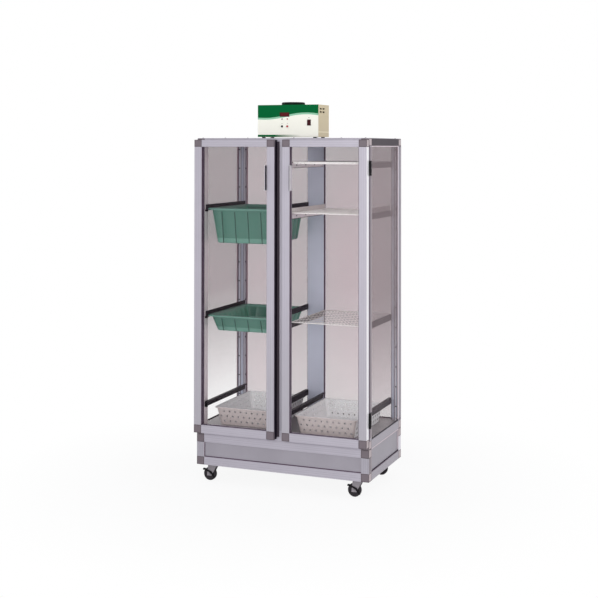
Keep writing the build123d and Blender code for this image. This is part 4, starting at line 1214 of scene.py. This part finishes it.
@dataclass
class Carcass:
    """Small fittings of the fixed cabinet: seals, lines, seams and screws."""

    body: str = "cabinet"
    screw: float = 0.0035
    skin: float = 0.0006  # thickness of a line laid on a face
    seal_proud: float = 0.0022  # the centre post's seals before its face
    seal_reach: float = 0.02  # their ends past floor and top rail
    post_seals: tuple[Pair, ...] = ((-0.0195, -0.0062), (0.0165, 0.0195))
    column_skin: float = 0.0012
    column_edge: Pair = (0.001, 0.020)
    pale_lips: tuple[Pair, ...] = ((0.0203, 0.0257),)  # on a rear post's front face, from its inner edge
    dark_lips: tuple[Pair, ...] = ((0.0165, 0.0195), (0.0010, 0.0030))
    outer_lines: tuple[Pair, ...] = ((0.031, 0.0215), (0.0085, 0.0005))  # on its outer face, from the back
    inner_lines: tuple[Pair, ...] = ((0.026, 0.023), (0.006, 0.003))  # on its inner face, from the back
    front_line: Pair = (0.001, 0.012)  # on a front post's outer face, from the front
    panel_back: float = 0.005  # the base's panels behind the profiles' faces
    panel_line: float = 0.003
    panel_foot: float = 0.004
    side_line: Pair = (0.0005, 0.005)  # depth of the side panels' lines
    hinge_hole: float = 0.035  # middle of a leaf's screws from its end
    hinge_pitch: float = 0.024
    hinge_back: float = 0.013
    hinge_leaf: float = 0.002
    rail_leaf: float = 0.003
    rail_hole: float = 0.014  # screws from the upper and lower edge of the silver rails
    rail_first: float = 0.086
    rail_pitch: float = 0.121
    post_holes_at: Pair = (0.436, 0.4094)  # distance from the middle, on the front and inner faces
    post_first: float = 0.348
    post_pitch: float = 0.1
    post_count: int = 14
    roof_screws: Pair = (0.02, 0.122)  # inset and pitch
    back_screws: Point = (0.075, 0.106, 0.052)  # inset, pitch and distance from the edges

    def seals(self, paint: Paint) -> None:
        """Adds the dark strips on the centre post and on the column's edges.

        Args:
            paint: The finishes.
        """
        low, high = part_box("cabinet_frame")
        floor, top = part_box("chamber_floor")[1].z, high.z - TOP_RAIL
        place = (self.body, "black_rubber")
        shape = bmesh.new()
        for x0, x1 in self.post_seals:
            front, rise = low.y - self.seal_proud, self.seal_reach
            add_box(shape, (x0, front, floor - rise), (x1, low.y, top + rise), self.skin)
        fit(paint, "centre_post_seal", shape, "dark_profile", place)
        low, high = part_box("centre_column")
        y0, y1 = (low.y + edge for edge in self.column_edge)
        shape = bmesh.new()
        for side in (-1, 1):
            xs = mirrored(side, high.x, high.x + self.column_skin)
            add_box(shape, (xs[0], y0, floor), (xs[1], y1, top))
        fit(paint, "column_edges", shape, "plum_rubber", place)

    def post_lines(self, paint: Paint) -> None:
        """Adds the pale lips and dark lines of the rear posts, and the lines on the front posts' flanks.

        Args:
            paint: The finishes.
        """
        low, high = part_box("cabinet_frame")
        floor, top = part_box("chamber_floor")[1].z, high.z - TOP_RAIL
        inner, face = high.x - PROFILE, high.y - PROFILE
        pale, dark = bmesh.new(), bmesh.new()
        for side in (-1, 1):
            for shape, lips in ((pale, self.pale_lips), (dark, self.dark_lips)):
                for near, far in lips:
                    xs = mirrored(side, inner + near, inner + far)
                    add_box(shape, (xs[0], face - self.skin, floor), (xs[1], face, top))
            xs = mirrored(side, high.x, high.x + self.skin)
            for near, far in self.outer_lines:
                add_box(dark, (xs[0], high.y - near, floor), (xs[1], high.y - far, top))
            y0, y1 = (low.y + edge for edge in self.front_line)
            add_box(dark, (xs[0], y0, floor), (xs[1], y1, top))
            xs = mirrored(side, inner, inner - self.skin)
            for near, far in self.inner_lines:
                add_box(dark, (xs[0], high.y - near, floor), (xs[1], high.y - far, top))
        fit(paint, "rear_post_lips", pale, "pale_edge", (self.body, "frame_aluminium"))
        fit(paint, "rear_post_lines", dark, "plum_rubber", (self.body, "black_rubber"))

    def panel_lines(self, paint: Paint) -> None:
        """Adds dark lines of painted shade along the recessed edges of the base's front and side panels.

        Args:
            paint: The finishes.
        """
        low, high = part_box("base_frame")
        face = low.y + self.panel_back
        front = face - self.panel_line
        x0, x1, z0, z1 = low.x + PROFILE, high.x - PROFILE, low.z + PROFILE, high.z - PROFILE
        shape = bmesh.new()
        add_box(shape, (x0, front, z0), (x1, face, z0 + self.panel_foot))
        add_box(shape, (x0, front, z0), (x0 + self.panel_line, face, z1))
        for side in (-1, 1):
            xs = mirrored(side, *(high.x - edge for edge in self.side_line))
            add_box(shape, (xs[0], low.y + PROFILE, z0), (xs[1], high.y - PROFILE, z0 + self.panel_back))
        # painted shade: the lines stand for the shadow at the panels' recessed edges
        fit(paint, "base_panel_lines", shape, "plum_rubber", (self.body, "black_rubber"))

    def block_seams(self, paint: Paint) -> None:
        """Adds dark lines round the corner blocks of base and cabinet, on their outer faces.

        Args:
            paint: The finishes.
        """
        base_low, base_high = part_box("base_frame")
        low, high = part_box("cabinet_frame")
        rises = (
            (base_low.z, base_low.z + PROFILE), (base_high.z - PROFILE, base_high.z),
            (low.z, low.z + PROFILE), (high.z - TOP_RAIL, high.z),
        )
        shape = bmesh.new()
        for z0, z1 in rises:
            for y0 in (low.y, high.y - PROFILE):
                for side, facing in ((-1, Facing.LEFT), (1, Facing.RIGHT)):
                    xs = mirrored(side, high.x, high.x - PROFILE)
                    corner = ((xs[0], y0, z0), (xs[1], y0 + PROFILE, z1))
                    outline_face(shape, *corner, facing)
                    if y0 == low.y and z0 < low.z:
                        outline_face(shape, *corner, Facing.FRONT)
        fit(paint, "block_seams", shape, "seam_line", (self.body, "corner_plastic"))

    def hinge_screws(self, paint: Paint, repeater: Repeater) -> None:
        """Adds three screws to each hinge leaf on the posts.

        Args:
            paint: The finishes.
            repeater: The tree that repeats the screws.
        """
        low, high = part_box("hinge_frame_leaves")
        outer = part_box("cabinet_frame")[1].x + self.hinge_leaf
        pitch, y, zinc = self.hinge_pitch, high.y - self.hinge_back, (paint["zinc_plate"], "zinc_steel")
        for side, facing in ((1, Facing.RIGHT), (-1, Facing.LEFT)):
            rows = [
                Row((side * outer, y, middle - pitch), (0, 0, pitch), 3)
                for middle in (low.z + self.hinge_hole, high.z - self.hinge_hole)
            ]
            self.lay(repeater, f"hinge_screws_{facing.name.lower()}", facing, rows, zinc)

    def rail_screws(self, paint: Paint, repeater: Repeater) -> None:
        """Adds the screws of the silver rails.

        Args:
            paint: The finishes.
            repeater: The tree that repeats the screws.
        """
        low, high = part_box("silver_rails")
        black = (paint["black_rubber"], "black_rubber")
        heights = (low.z + self.rail_hole, high.z - self.rail_hole)
        for wall, sign, facing in ((low.x, 1, Facing.RIGHT), (high.x, -1, Facing.LEFT)):
            x, y = wall + sign * self.rail_leaf, low.y + self.rail_first
            rows = [Row((x, y, z), (0, self.rail_pitch, 0), 4) for z in heights]
            self.lay(repeater, f"rail_screws_{facing.name.lower()}", facing, rows, black)

    def post_holes(self, paint: Paint, repeater: Repeater) -> None:
        """Adds the dark plugs in the rear posts' holes.

        Args:
            paint: The finishes.
            repeater: The tree that repeats the plugs.
        """
        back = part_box("cabinet_frame")[1].y
        black = (paint["black_rubber"], "black_rubber")
        step, count = (0, 0, self.post_pitch), self.post_count
        front, middle = back - PROFILE - self.skin, back - PROFILE / 2
        outer, inner = self.post_holes_at
        faces = (
            (Facing.FRONT, front, (-outer, outer)),
            (Facing.RIGHT, middle, (-inner,)),
            (Facing.LEFT, middle, (inner,)),
        )
        for facing, y, places in faces:
            rows = [Row((x, y, self.post_first), step, count) for x in places]
            self.lay(repeater, f"post_holes_{facing.name.lower()}", facing, rows, black)

    def sheet_screws(self, paint: Paint, repeater: Repeater) -> None:
        """Adds the screws of the roof and of the base's back panel.

        Args:
            paint: The finishes.
            repeater: The tree that repeats the screws.
        """
        zinc = (paint["zinc_plate"], "zinc_steel")
        low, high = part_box("roof")
        inset, pitch = self.roof_screws
        rows = [Row((low.x + inset, y, high.z), (pitch, 0, 0), 8) for y in (low.y + inset, high.y - inset)]
        self.lay(repeater, "roof_screws", Facing.UP, rows, zinc)
        low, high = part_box("base_panels")
        inset, pitch, rise = self.back_screws
        rows = [Row((low.x + inset, high.y, z), (pitch, 0, 0), 8) for z in (low.z + rise, high.z - rise)]
        self.lay(repeater, "back_panel_screws", Facing.BACK, rows, zinc)

    def lay(self, repeater: Repeater, name: str, facing: Facing, rows: list[Row],
            finish: tuple[bpy.types.Material, str]) -> None:
        """Sets screw heads along rows on the fixed body.

        Args:
            repeater: The tree that repeats them.
            name: The result's name.
            facing: Which way the heads look.
            rows: Where they go.
            finish: Their material and its group.
        """
        heads = repeater.lay(name, screw_head(self.screw, facing), rows, finish[0])
        settle(heads, self.body, finish[1])

    def build(self, paint: Paint, repeater: Repeater) -> None:
        """Adds every fitting.

        Args:
            paint: The finishes.
            repeater: The tree that repeats the screws.
        """
        for part in (self.seals, self.post_lines, self.panel_lines, self.block_seams):
            part(paint)
        for part in (self.hinge_screws, self.rail_screws, self.post_holes, self.sheet_screws):
            part(paint, repeater)


def outline_face(shape: bmesh.types.BMesh, low: Point, high: Point, facing: Facing) -> None:
    """Adds four thin strips just inside the edges of one face of a box.

    Args:
        shape: The mesh that gets the strips.
        low: The box's lowest corner.
        high: Its highest corner.
        facing: Which face.
    """
    out = Vector(facing.value)
    axis = 1 if out.y else 0
    other = 1 - axis
    plane = high[axis] if out[axis] > 0 else low[axis]
    inset, wide, proud, sunk = 0.0011, 0.0018, 0.0002, 0.0003
    ends = sorted((plane + out[axis] * proud, plane - out[axis] * sunk))
    a0, a1, z0, z1 = low[other] + inset, high[other] - inset, low[2] + inset, high[2] - inset
    for span, rise in (
        ((a0, a1), (z0, z0 + wide)), ((a0, a1), (z1 - wide, z1)),
        ((a0, a0 + wide), (z0 + wide, z1 - wide)), ((a1 - wide, a1), (z0 + wide, z1 - wide)),
    ):
        start, end = [0.0, 0.0, rise[0]], [0.0, 0.0, rise[1]]
        start[axis], end[axis] = ends
        start[other], end[other] = span
        add_box(shape, tuple(start), tuple(end))


@dataclass
class Doors:
    """Glazing beads, meeting seals, block seams and pull inlays of both doors; the meeting seals and pull inlays
    are partly painted shade.
    """

    edge: float = 0.001
    thin: float = 0.0012
    foot_bead: float = 0.0028
    foot_bead_deep: float = 0.004
    meeting_bead: float = 0.008
    meeting_front: float = 0.011  # where the dark meeting strip, gasket and painted shade, starts behind the door's face
    meeting_back: float = 0.0005
    meeting_end: float = 0.002
    inlay: Pair = (0.0001, 0.0014)  # the pull's dark strip, from its inner face
    inlay_room: float = 0.0009
    inlay_edge: float = 0.0034
    inlay_skin: float = 0.0003

    def build(self, paint: Paint) -> None:
        """Adds each door's strips, seams and inlay.

        Args:
            paint: The finishes.
        """
        for side, sign in (("left", -1), ("right", 1)):
            low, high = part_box(f"{side}_door_frame")
            meeting, outer = (high.x, low.x) if side == "left" else (low.x, high.x)
            rise = (low.z + PROFILE, high.z - TOP_RAIL)
            self.beads(paint, side, (meeting, outer), rise)
            place = (f"{side}_door", "black_rubber")
            shape = bmesh.new()
            # a black strip on the meeting face: the meeting gasket and painted shade on that face
            ends = (low.z + self.meeting_end, high.z - self.meeting_end)
            self.strip(shape, meeting, -sign, (low.y + self.meeting_front, high.y - self.meeting_back), ends)
            fit(paint, f"{side}_meeting_seal", shape, "black_rubber", place)
            shape = bmesh.new()
            for x in (meeting, outer - sign * PROFILE):
                xs = sorted((x, x + sign * PROFILE))
                for z0, z1 in ((low.z, rise[0]), (rise[1], high.z)):
                    corner = ((xs[0], low.y, z0), (xs[1], high.y, z1))
                    outline_face(shape, *corner, Facing.FRONT)
                    if x != meeting:
                        outline_face(shape, *corner, Facing.RIGHT if sign > 0 else Facing.LEFT)
            fit(paint, f"{side}_door_seams", shape, "seam_line", place)
            self.pull_inlay_and_shade(paint, side, sign, low.y)

    def beads(self, paint: Paint, side: str, ends: Pair, rise: Pair) -> None:
        """Adds the strips that hold a window.

        Args:
            paint: The finishes.
            side: The door's side.
            ends: Where the door's meeting edge and outer edge are.
            rise: The window opening's lower and upper end.
        """
        low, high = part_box(f"{side}_door_frame")
        pane_low, pane_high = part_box(f"{side}_door_window")
        sign = -1 if side == "left" else 1
        inner, rim = ends[0] + sign * PROFILE, ends[1] - sign * PROFILE
        shape = bmesh.new()
        self.strip(shape, rim, -sign, (low.y + self.edge, pane_low.y), rise)
        self.strip(shape, rim, -sign, (pane_high.y, high.y - self.edge), rise)
        self.strip(shape, inner, sign, (pane_low.y - self.meeting_bead, pane_low.y), rise)
        xs = sorted((inner + sign * self.thin, rim - sign * self.thin))
        foot = (xs[0], pane_low.y - self.foot_bead_deep, rise[0])
        add_box(shape, foot, (xs[1], pane_low.y, rise[0] + self.foot_bead))
        fit(paint, f"{side}_door_bead", shape, "plum_rubber", (f"{side}_door", "black_rubber"))

    def strip(self, shape: bmesh.types.BMesh, x: float, sign: int, depth: Pair, rise: Pair) -> None:
        """Adds a thin strip on a face at x that looks along sign."""
        xs = sorted((x, x + sign * self.thin))
        add_box(shape, (xs[0], depth[0], rise[0]), (xs[1], depth[1], rise[1]))

    def pull_inlay_and_shade(self, paint: Paint, side: str, sign: int, door_front: float) -> None:
        """Adds the dark strip in the bed of a pull's inner face, and its front edge: partly a black insert,
        partly painted shade in the pull's hollow.

        Args:
            paint: The finishes.
            side: The door's side.
            sign: -1 on the left, 1 on the right.
            door_front: Where the door's face is.
        """
        low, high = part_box(f"{side}_door_pull")
        face = high.x if side == "left" else low.x
        z0, z1 = low.z + self.inlay_room, high.z - self.inlay_room
        shape = bmesh.new()
        xs = sorted(face + sign * edge for edge in self.inlay)
        add_box(shape, (xs[0], low.y + self.inlay_room, z0), (xs[1], door_front - self.inlay[0], z1))
        xs = sorted((face, face + sign * self.inlay_edge))
        add_box(shape, (xs[0], low.y - self.inlay_skin, z0), (xs[1], low.y, z1))
        fit(paint, f"{side}_pull_inlay", shape, "black_rubber", (f"{side}_door", "black_rubber"))


@dataclass
class ControlUnit:
    """Lamps, marks and display segments of the control unit."""

    body: str = "cabinet"
    lamp: float = 0.0032
    lamp_rise: float = 0.036  # a lamp over its button
    lamp_profile: tuple[Pair, ...] = ((1.0, 0.0008), (0.6, 0.0018), (0.0, 0.0022))
    ink: float = 0.0003  # thickness of a printed mark
    button_mark: Point = (0.0022, 0.013, 0.0144)
    switch_mark: Point = (0.003, 0.012, 0.0135)
    segment: float = 0.0012
    segment_proud: float = 0.0004
    digit_wide: float = 0.008
    digit_high: float = 0.013
    digit_pitch: float = 0.0145

    def digit(self, shape: bmesh.types.BMesh, x: float, z: float, front: float) -> None:
        """Adds the seven bars of one figure.

        Args:
            shape: The mesh that gets the bars.
            x: The figure's middle, across.
            z: Its middle, up.
            front: Where the display's face is.
        """
        half_w, half_h, half_bar = self.digit_wide / 2, self.digit_high / 2, self.segment / 2
        bars = [(0.0, half_w - half_bar, level - half_bar, level + half_bar) for level in (-half_h, 0.0, half_h)]
        for side in (-half_w, half_w):
            bars += [(side, half_bar, low + half_bar, low + half_h - half_bar) for low in (-half_h, 0.0)]
        for across, half, low, high in bars:
            start = (x + across - half, front - self.segment_proud, z + low)
            add_box(shape, start, (x + across + half, front, z + high))

    def mark(self, paint: Paint, name: str, at: Pair, size: Point) -> None:
        """Adds a short printed line.

        Args:
            paint: The finishes.
            name: The piece's name.
            at: The point under it, across and up.
            size: Half its width, and how far above the point it starts and ends.
        """
        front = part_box("unit_fascia")[0].y
        half, low, high = size
        shape = bmesh.new()
        add_box(shape, (at[0] - half, front - self.ink, at[1] + low), (at[0] + half, front, at[1] + high))
        fit(paint, name, shape, "black_rubber", (self.body, "black_plastic"))

    def build(self, paint: Paint) -> None:
        """Adds the pieces to the unit's front.

        Args:
            paint: The finishes.
        """
        low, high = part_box("unit_display")
        centre = (low + high) / 2
        shape = bmesh.new()
        for i in (-1, 0, 1):
            self.digit(shape, centre.x + i * self.digit_pitch, centre.z, low.y)
        fit(paint, "display_figures", shape, "lit_segment", (self.body, "display_red"))
        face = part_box("unit_fascia")[0].y
        outline = [(0, 0), (self.lamp, 0), *((self.lamp * share, rise) for share, rise in self.lamp_profile)]
        for name, finish in (("mode_button", "black_plastic"), ("start_button", "red_plastic")):
            low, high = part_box(name)
            middle = (low + high) / 2
            place = Matrix.Translation((middle.x, face, middle.z + self.lamp_rise)) @ Facing.FRONT.turn()
            fit(paint, f"{name}_lamp", turned(outline, 20, place), finish, (self.body, "black_plastic"))
            self.mark(paint, f"{name}_mark", (middle.x, middle.z), self.button_mark)
        low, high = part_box("mains_rocker")
        middle = (low + high) / 2
        self.mark(paint, "switch_mark", (middle.x, high.z), self.switch_mark)


@dataclass
class Casters:
    """Bolts of the plates and caps of the axles."""

    bolt: float = 0.0045
    bolt_profile: tuple[Pair, ...] = ((1.0, 0.0028), (0.7, 0.0034), (0.0, 0.0034))
    cap: tuple[Pair, ...] = ((0, 0), (0.0062, 0), (0.0062, 0.001), (0.0045, 0.0022), (0, 0.0024))
    inset: float = 0.008
    plate: float = 0.066
    plate_thick: float = 0.003
    corners: tuple[str, ...] = ("front_left", "front_right", "rear_left", "rear_right")

    def build(self, paint: Paint, repeater: Repeater) -> None:
        """Adds the bolts and the axle caps.

        Args:
            paint: The finishes.
            repeater: The tree that repeats the bolts.
        """
        low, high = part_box("caster_plates")
        under, half = high.z - self.plate_thick, self.plate / 2
        reach = half - self.inset
        outline = [(0, 0), (self.bolt, 0), *((self.bolt * share, rise) for share, rise in self.bolt_profile)]
        rows = []
        for x in (low.x + half, high.x - half):
            for y in (low.y + half, high.y - half):
                rows += [Row((x - reach, y + s * reach, under), (2 * reach, 0, 0), 2) for s in (-1, 1)]
        head = turned(outline, 6, Matrix.Rotation(math.pi, 4, "X"))
        settle(repeater.lay("caster_bolts", head, rows, paint["zinc_plate"]), "cabinet", "zinc_steel")
        for corner in self.corners:
            low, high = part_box(f"{corner}_fork")
            wheel = sum(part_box(f"{corner}_wheel"), Vector()) / 2
            shape = bmesh.new()
            for facing, y in ((Facing.FRONT, low.y), (Facing.BACK, high.y)):
                side = turned(self.cap, 20, Matrix.Translation((wheel.x, y, wheel.z)) @ facing.turn())
                mesh = bpy.data.meshes.new("cap")
                side.to_mesh(mesh)
                side.free()
                shape.from_mesh(mesh)
            fit(paint, f"{corner}_axle_caps", shape, "zinc_plate", (f"{corner}_fork", "zinc_steel"))


NODE_FINISH = {
    "base_frame": "anodised_profile", "cabinet_frame": "anodised_profile", "top_side_rails": "dark_profile",
    "base_panels": "panel_paint", "corner_blocks": "corner_plastic", "centre_column": "column_paint",
    "roof": "anodised_roof", "chamber_floor": "brushed_floor", "clear_walls": "smoky_pane",
    "wall_gaskets": "wall_seal", "black_rails": "dark_rail", "silver_rails": "silver_profile",
    "rail_caps": "black_plastic", "door_catches": "black_rubber", "hinge_frame_leaves": "black_plastic",
    "left_tray": "white_tray", "right_tray": "white_tray", "hanging_rack": "white_rack",
    "upper_rack": "white_rack", "unit_tray": "unit_beige", "unit_cover": "unit_beige",
    "unit_fascia": "fascia", "unit_feet": "black_rubber", "unit_display": "display_red",
    "unit_board": "black_plastic", "mode_button": "black_plastic", "start_button": "red_plastic",
    "mains_rocker": "display_red", "intake_cap": "cap_green", "power_inlet": "black_plastic",
    "blower": "black_plastic", "blower_impeller": "black_plastic", "heater": "zinc_plate",
    "air_filter": "filter_mat", "caster_plates": "zinc_plate",
}
ENDING_FINISH = {
    "_fork": "zinc_plate", "_wheel": "wheel_grey", "_brake": "black_plastic", "door_frame": "door_profile",
    "door_corner_blocks": "corner_plastic", "door_window": "clear_window", "door_gasket": "black_rubber",
    "door_pull": "pale_edge", "door_hinge_leaves": "black_plastic",
}


def dress_nodes(paint: Paint, nodes: dict[str, bpy.types.Object]) -> None:
    """Gives every carried-over node its finish.

    Args:
        paint: The finishes.
        nodes: The nodes by name.
    """
    for name, thing in nodes.items():
        finish = NODE_FINISH.get(name)
        if finish is None:
            finish = next((f for end, f in ENDING_FINISH.items() if name.endswith(end)), "basket_green")
        paint.dress(thing, finish)


@dataclass(frozen=True)
class Lamp:
    """A square soft lamp that looks at the object."""

    name: str
    place: Point
    size: float
    power: float


@dataclass
class Studio:
    """Camera, floor, world and lamps."""

    eye: Point = (2.2322, -5.57546, 1.65829)
    yaw: float = -21.811
    pitch: float = 0.559
    roll: float = 0.076
    lens: float = 71.95
    sensor: float = 36.0
    shift: Pair = (0.00013, -0.27254)
    sky: Colour = (0.96, 0.97, 1.0)
    sky_strength: float = 0.62
    floor_grey: float = 0.94
    floor_half: float = 60.0
    shadow_reach: Pair = (0.7, 1.6)
    white_share: Pair = (0.9, 1.0)
    lamp_aim: Point = (0.0, 0.0, 0.9)
    lamps: tuple[Lamp, ...] = (
        Lamp("front_lamp", (0.6, -6.6, 1.9), 4.0, 140.0),
        Lamp("side_lamp", (3.4, -0.6, 2.4), 2.2, 24.0),
    )

    def camera(self) -> None:
        """Sets the camera of the photograph."""
        yaw, pitch, roll = (math.radians(a) for a in (self.yaw, self.pitch, self.roll))
        ahead = Vector((math.sin(yaw) * math.cos(pitch), math.cos(yaw) * math.cos(pitch), math.sin(pitch)))
        level = Vector((math.cos(yaw), -math.sin(yaw), 0))
        upright = level.cross(ahead)
        right = level * math.cos(roll) + upright * math.sin(roll)
        up = upright * math.cos(roll) - level * math.sin(roll)
        data = bpy.data.cameras.new("camera")
        data.lens, data.sensor_width = self.lens, self.sensor
        data.shift_x, data.shift_y = self.shift
        camera = bpy.data.objects.new("camera", data)
        axes = Matrix((right, up, -ahead)).transposed().to_4x4()
        camera.matrix_world = Matrix.Translation(self.eye) @ axes
        bpy.context.scene.collection.objects.link(camera)
        bpy.context.scene.camera = camera

    def world(self) -> None:
        """A plain soft world, white where the camera, gloss and glass look past the object."""
        world = bpy.data.worlds.new("studio")
        bpy.context.scene.world = world
        world.use_nodes = True
        tree = world.node_tree
        dim, white = tree.nodes.new("ShaderNodeBackground"), tree.nodes.new("ShaderNodeBackground")
        join = tree.nodes.new("ShaderNodeMixShader")
        seen = self.seen(tree)
        for light, colour, strength in ((dim, self.sky, self.sky_strength), (white, (1.0, 1.0, 1.0), 1.0)):
            light.inputs["Color"].default_value = (*colour, 1.0)
            light.inputs["Strength"].default_value = strength
        tree.links.new(seen, join.inputs[0])
        tree.links.new(dim.outputs[0], join.inputs[1])
        tree.links.new(white.outputs[0], join.inputs[2])
        tree.links.new(join.outputs[0], tree.nodes["World Output"].inputs[0])

    def seen(self, tree: bpy.types.NodeTree) -> bpy.types.NodeSocket:
        """1 for what the camera sees directly, in gloss or through glass, else 0.

        Args:
            tree: The nodes of the world or the floor.

        Returns:
            The share.
        """
        path = tree.nodes.new("ShaderNodeLightPath")
        result = path.outputs["Is Camera Ray"]
        for name in ("Is Glossy Ray", "Is Transmission Ray"):
            either = tree.nodes.new("ShaderNodeMath")
            either.operation = "MAXIMUM"
            tree.links.new(result, either.inputs[0])
            tree.links.new(path.outputs[name], either.inputs[1])
            result = either.outputs[0]
        return result

    def floor(self) -> None:
        """A white floor that keeps the object's shadow near it and is plain white further out."""
        shape = bmesh.new()
        bmesh.ops.create_grid(shape, x_segments=1, y_segments=1, size=self.floor_half)
        floor = as_object("floor", shape)
        material = bpy.data.materials.new("studio_floor")
        material.use_nodes = True
        tree = material.node_tree
        surface = tree.nodes["Principled BSDF"]
        surface.inputs["Base Color"].default_value = (*(self.floor_grey,) * 3, 1.0)
        surface.inputs["Roughness"].default_value = 0.9
        glow, join, place, length, spread, share = (
            tree.nodes.new(kind) for kind in (
                "ShaderNodeEmission", "ShaderNodeMixShader", "ShaderNodeTexCoord", "ShaderNodeVectorMath",
                "ShaderNodeMapRange", "ShaderNodeMath",
            )
        )
        length.operation = "LENGTH"
        share.operation = "MULTIPLY"
        for index, value in enumerate(self.shadow_reach + self.white_share, start=1):
            spread.inputs[index].default_value = value
        tree.links.new(place.outputs["Object"], length.inputs[0])
        tree.links.new(length.outputs["Value"], spread.inputs[0])
        tree.links.new(spread.outputs[0], share.inputs[0])
        tree.links.new(self.seen(tree), share.inputs[1])
        tree.links.new(share.outputs[0], join.inputs[0])
        tree.links.new(surface.outputs[0], join.inputs[1])
        tree.links.new(glow.outputs[0], join.inputs[2])
        tree.links.new(join.outputs[0], tree.nodes["Material Output"].inputs[0])
        floor.data.materials.append(material)

    def light(self, lamp: Lamp) -> None:
        """Sets one lamp.

        Args:
            lamp: Its place, size and power.
        """
        data = bpy.data.lights.new(lamp.name, "AREA")
        data.size, data.energy = lamp.size, lamp.power
        made = bpy.data.objects.new(lamp.name, data)
        made.location = lamp.place
        made.rotation_euler = (Vector(self.lamp_aim) - Vector(lamp.place)).to_track_quat("-Z", "Y").to_euler()
        bpy.context.scene.collection.objects.link(made)

    def build(self) -> None:
        """Sets everything round the object."""
        self.camera()
        self.world()
        self.floor()
        for lamp in self.lamps:
            self.light(lamp)
        bpy.context.scene.view_settings.view_transform = "Standard"


def corners(box: tuple[Vector, Vector]) -> list[list[float]]:
    """A box as plain lists."""
    return [list(box[0]), list(box[1])]


def level_bands() -> tuple[Pair, ...]:
    """Height ranges in which the profiles run level: the base's rails with the doors' lower ones, and the top.

    Returns:
        Their lower and upper ends.
    """
    base_low, base_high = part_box("base_frame")
    door_low, door_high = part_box("left_door_frame")
    return (
        (base_low.z, base_low.z + PROFILE),
        (base_high.z - PROFILE, door_low.z + PROFILE),
        (door_high.z - TOP_RAIL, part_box("cabinet_frame")[1].z),
    )


def main() -> None:
    """Builds the looks around the frame."""
    logging.basicConfig(level=logging.INFO, format="%(name)s: %(message)s")
    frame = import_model()
    paint, repeater = Paint(level_bands()), Repeater()
    dress_nodes(paint, frame["nodes"])
    for node in ("deep_basket", "shallow_basket"):
        Basket(node).build(paint)
    WireRack("lower_rack").build(paint, repeater)
    Carcass().build(paint, repeater)
    for node in ("left_tray", "right_tray"):
        Tray(node).build(paint, repeater)
    Doors().build(paint)
    ControlUnit().build(paint)
    Casters().build(paint, repeater)
    Studio().build()


if __name__ == "__main__":
    main()
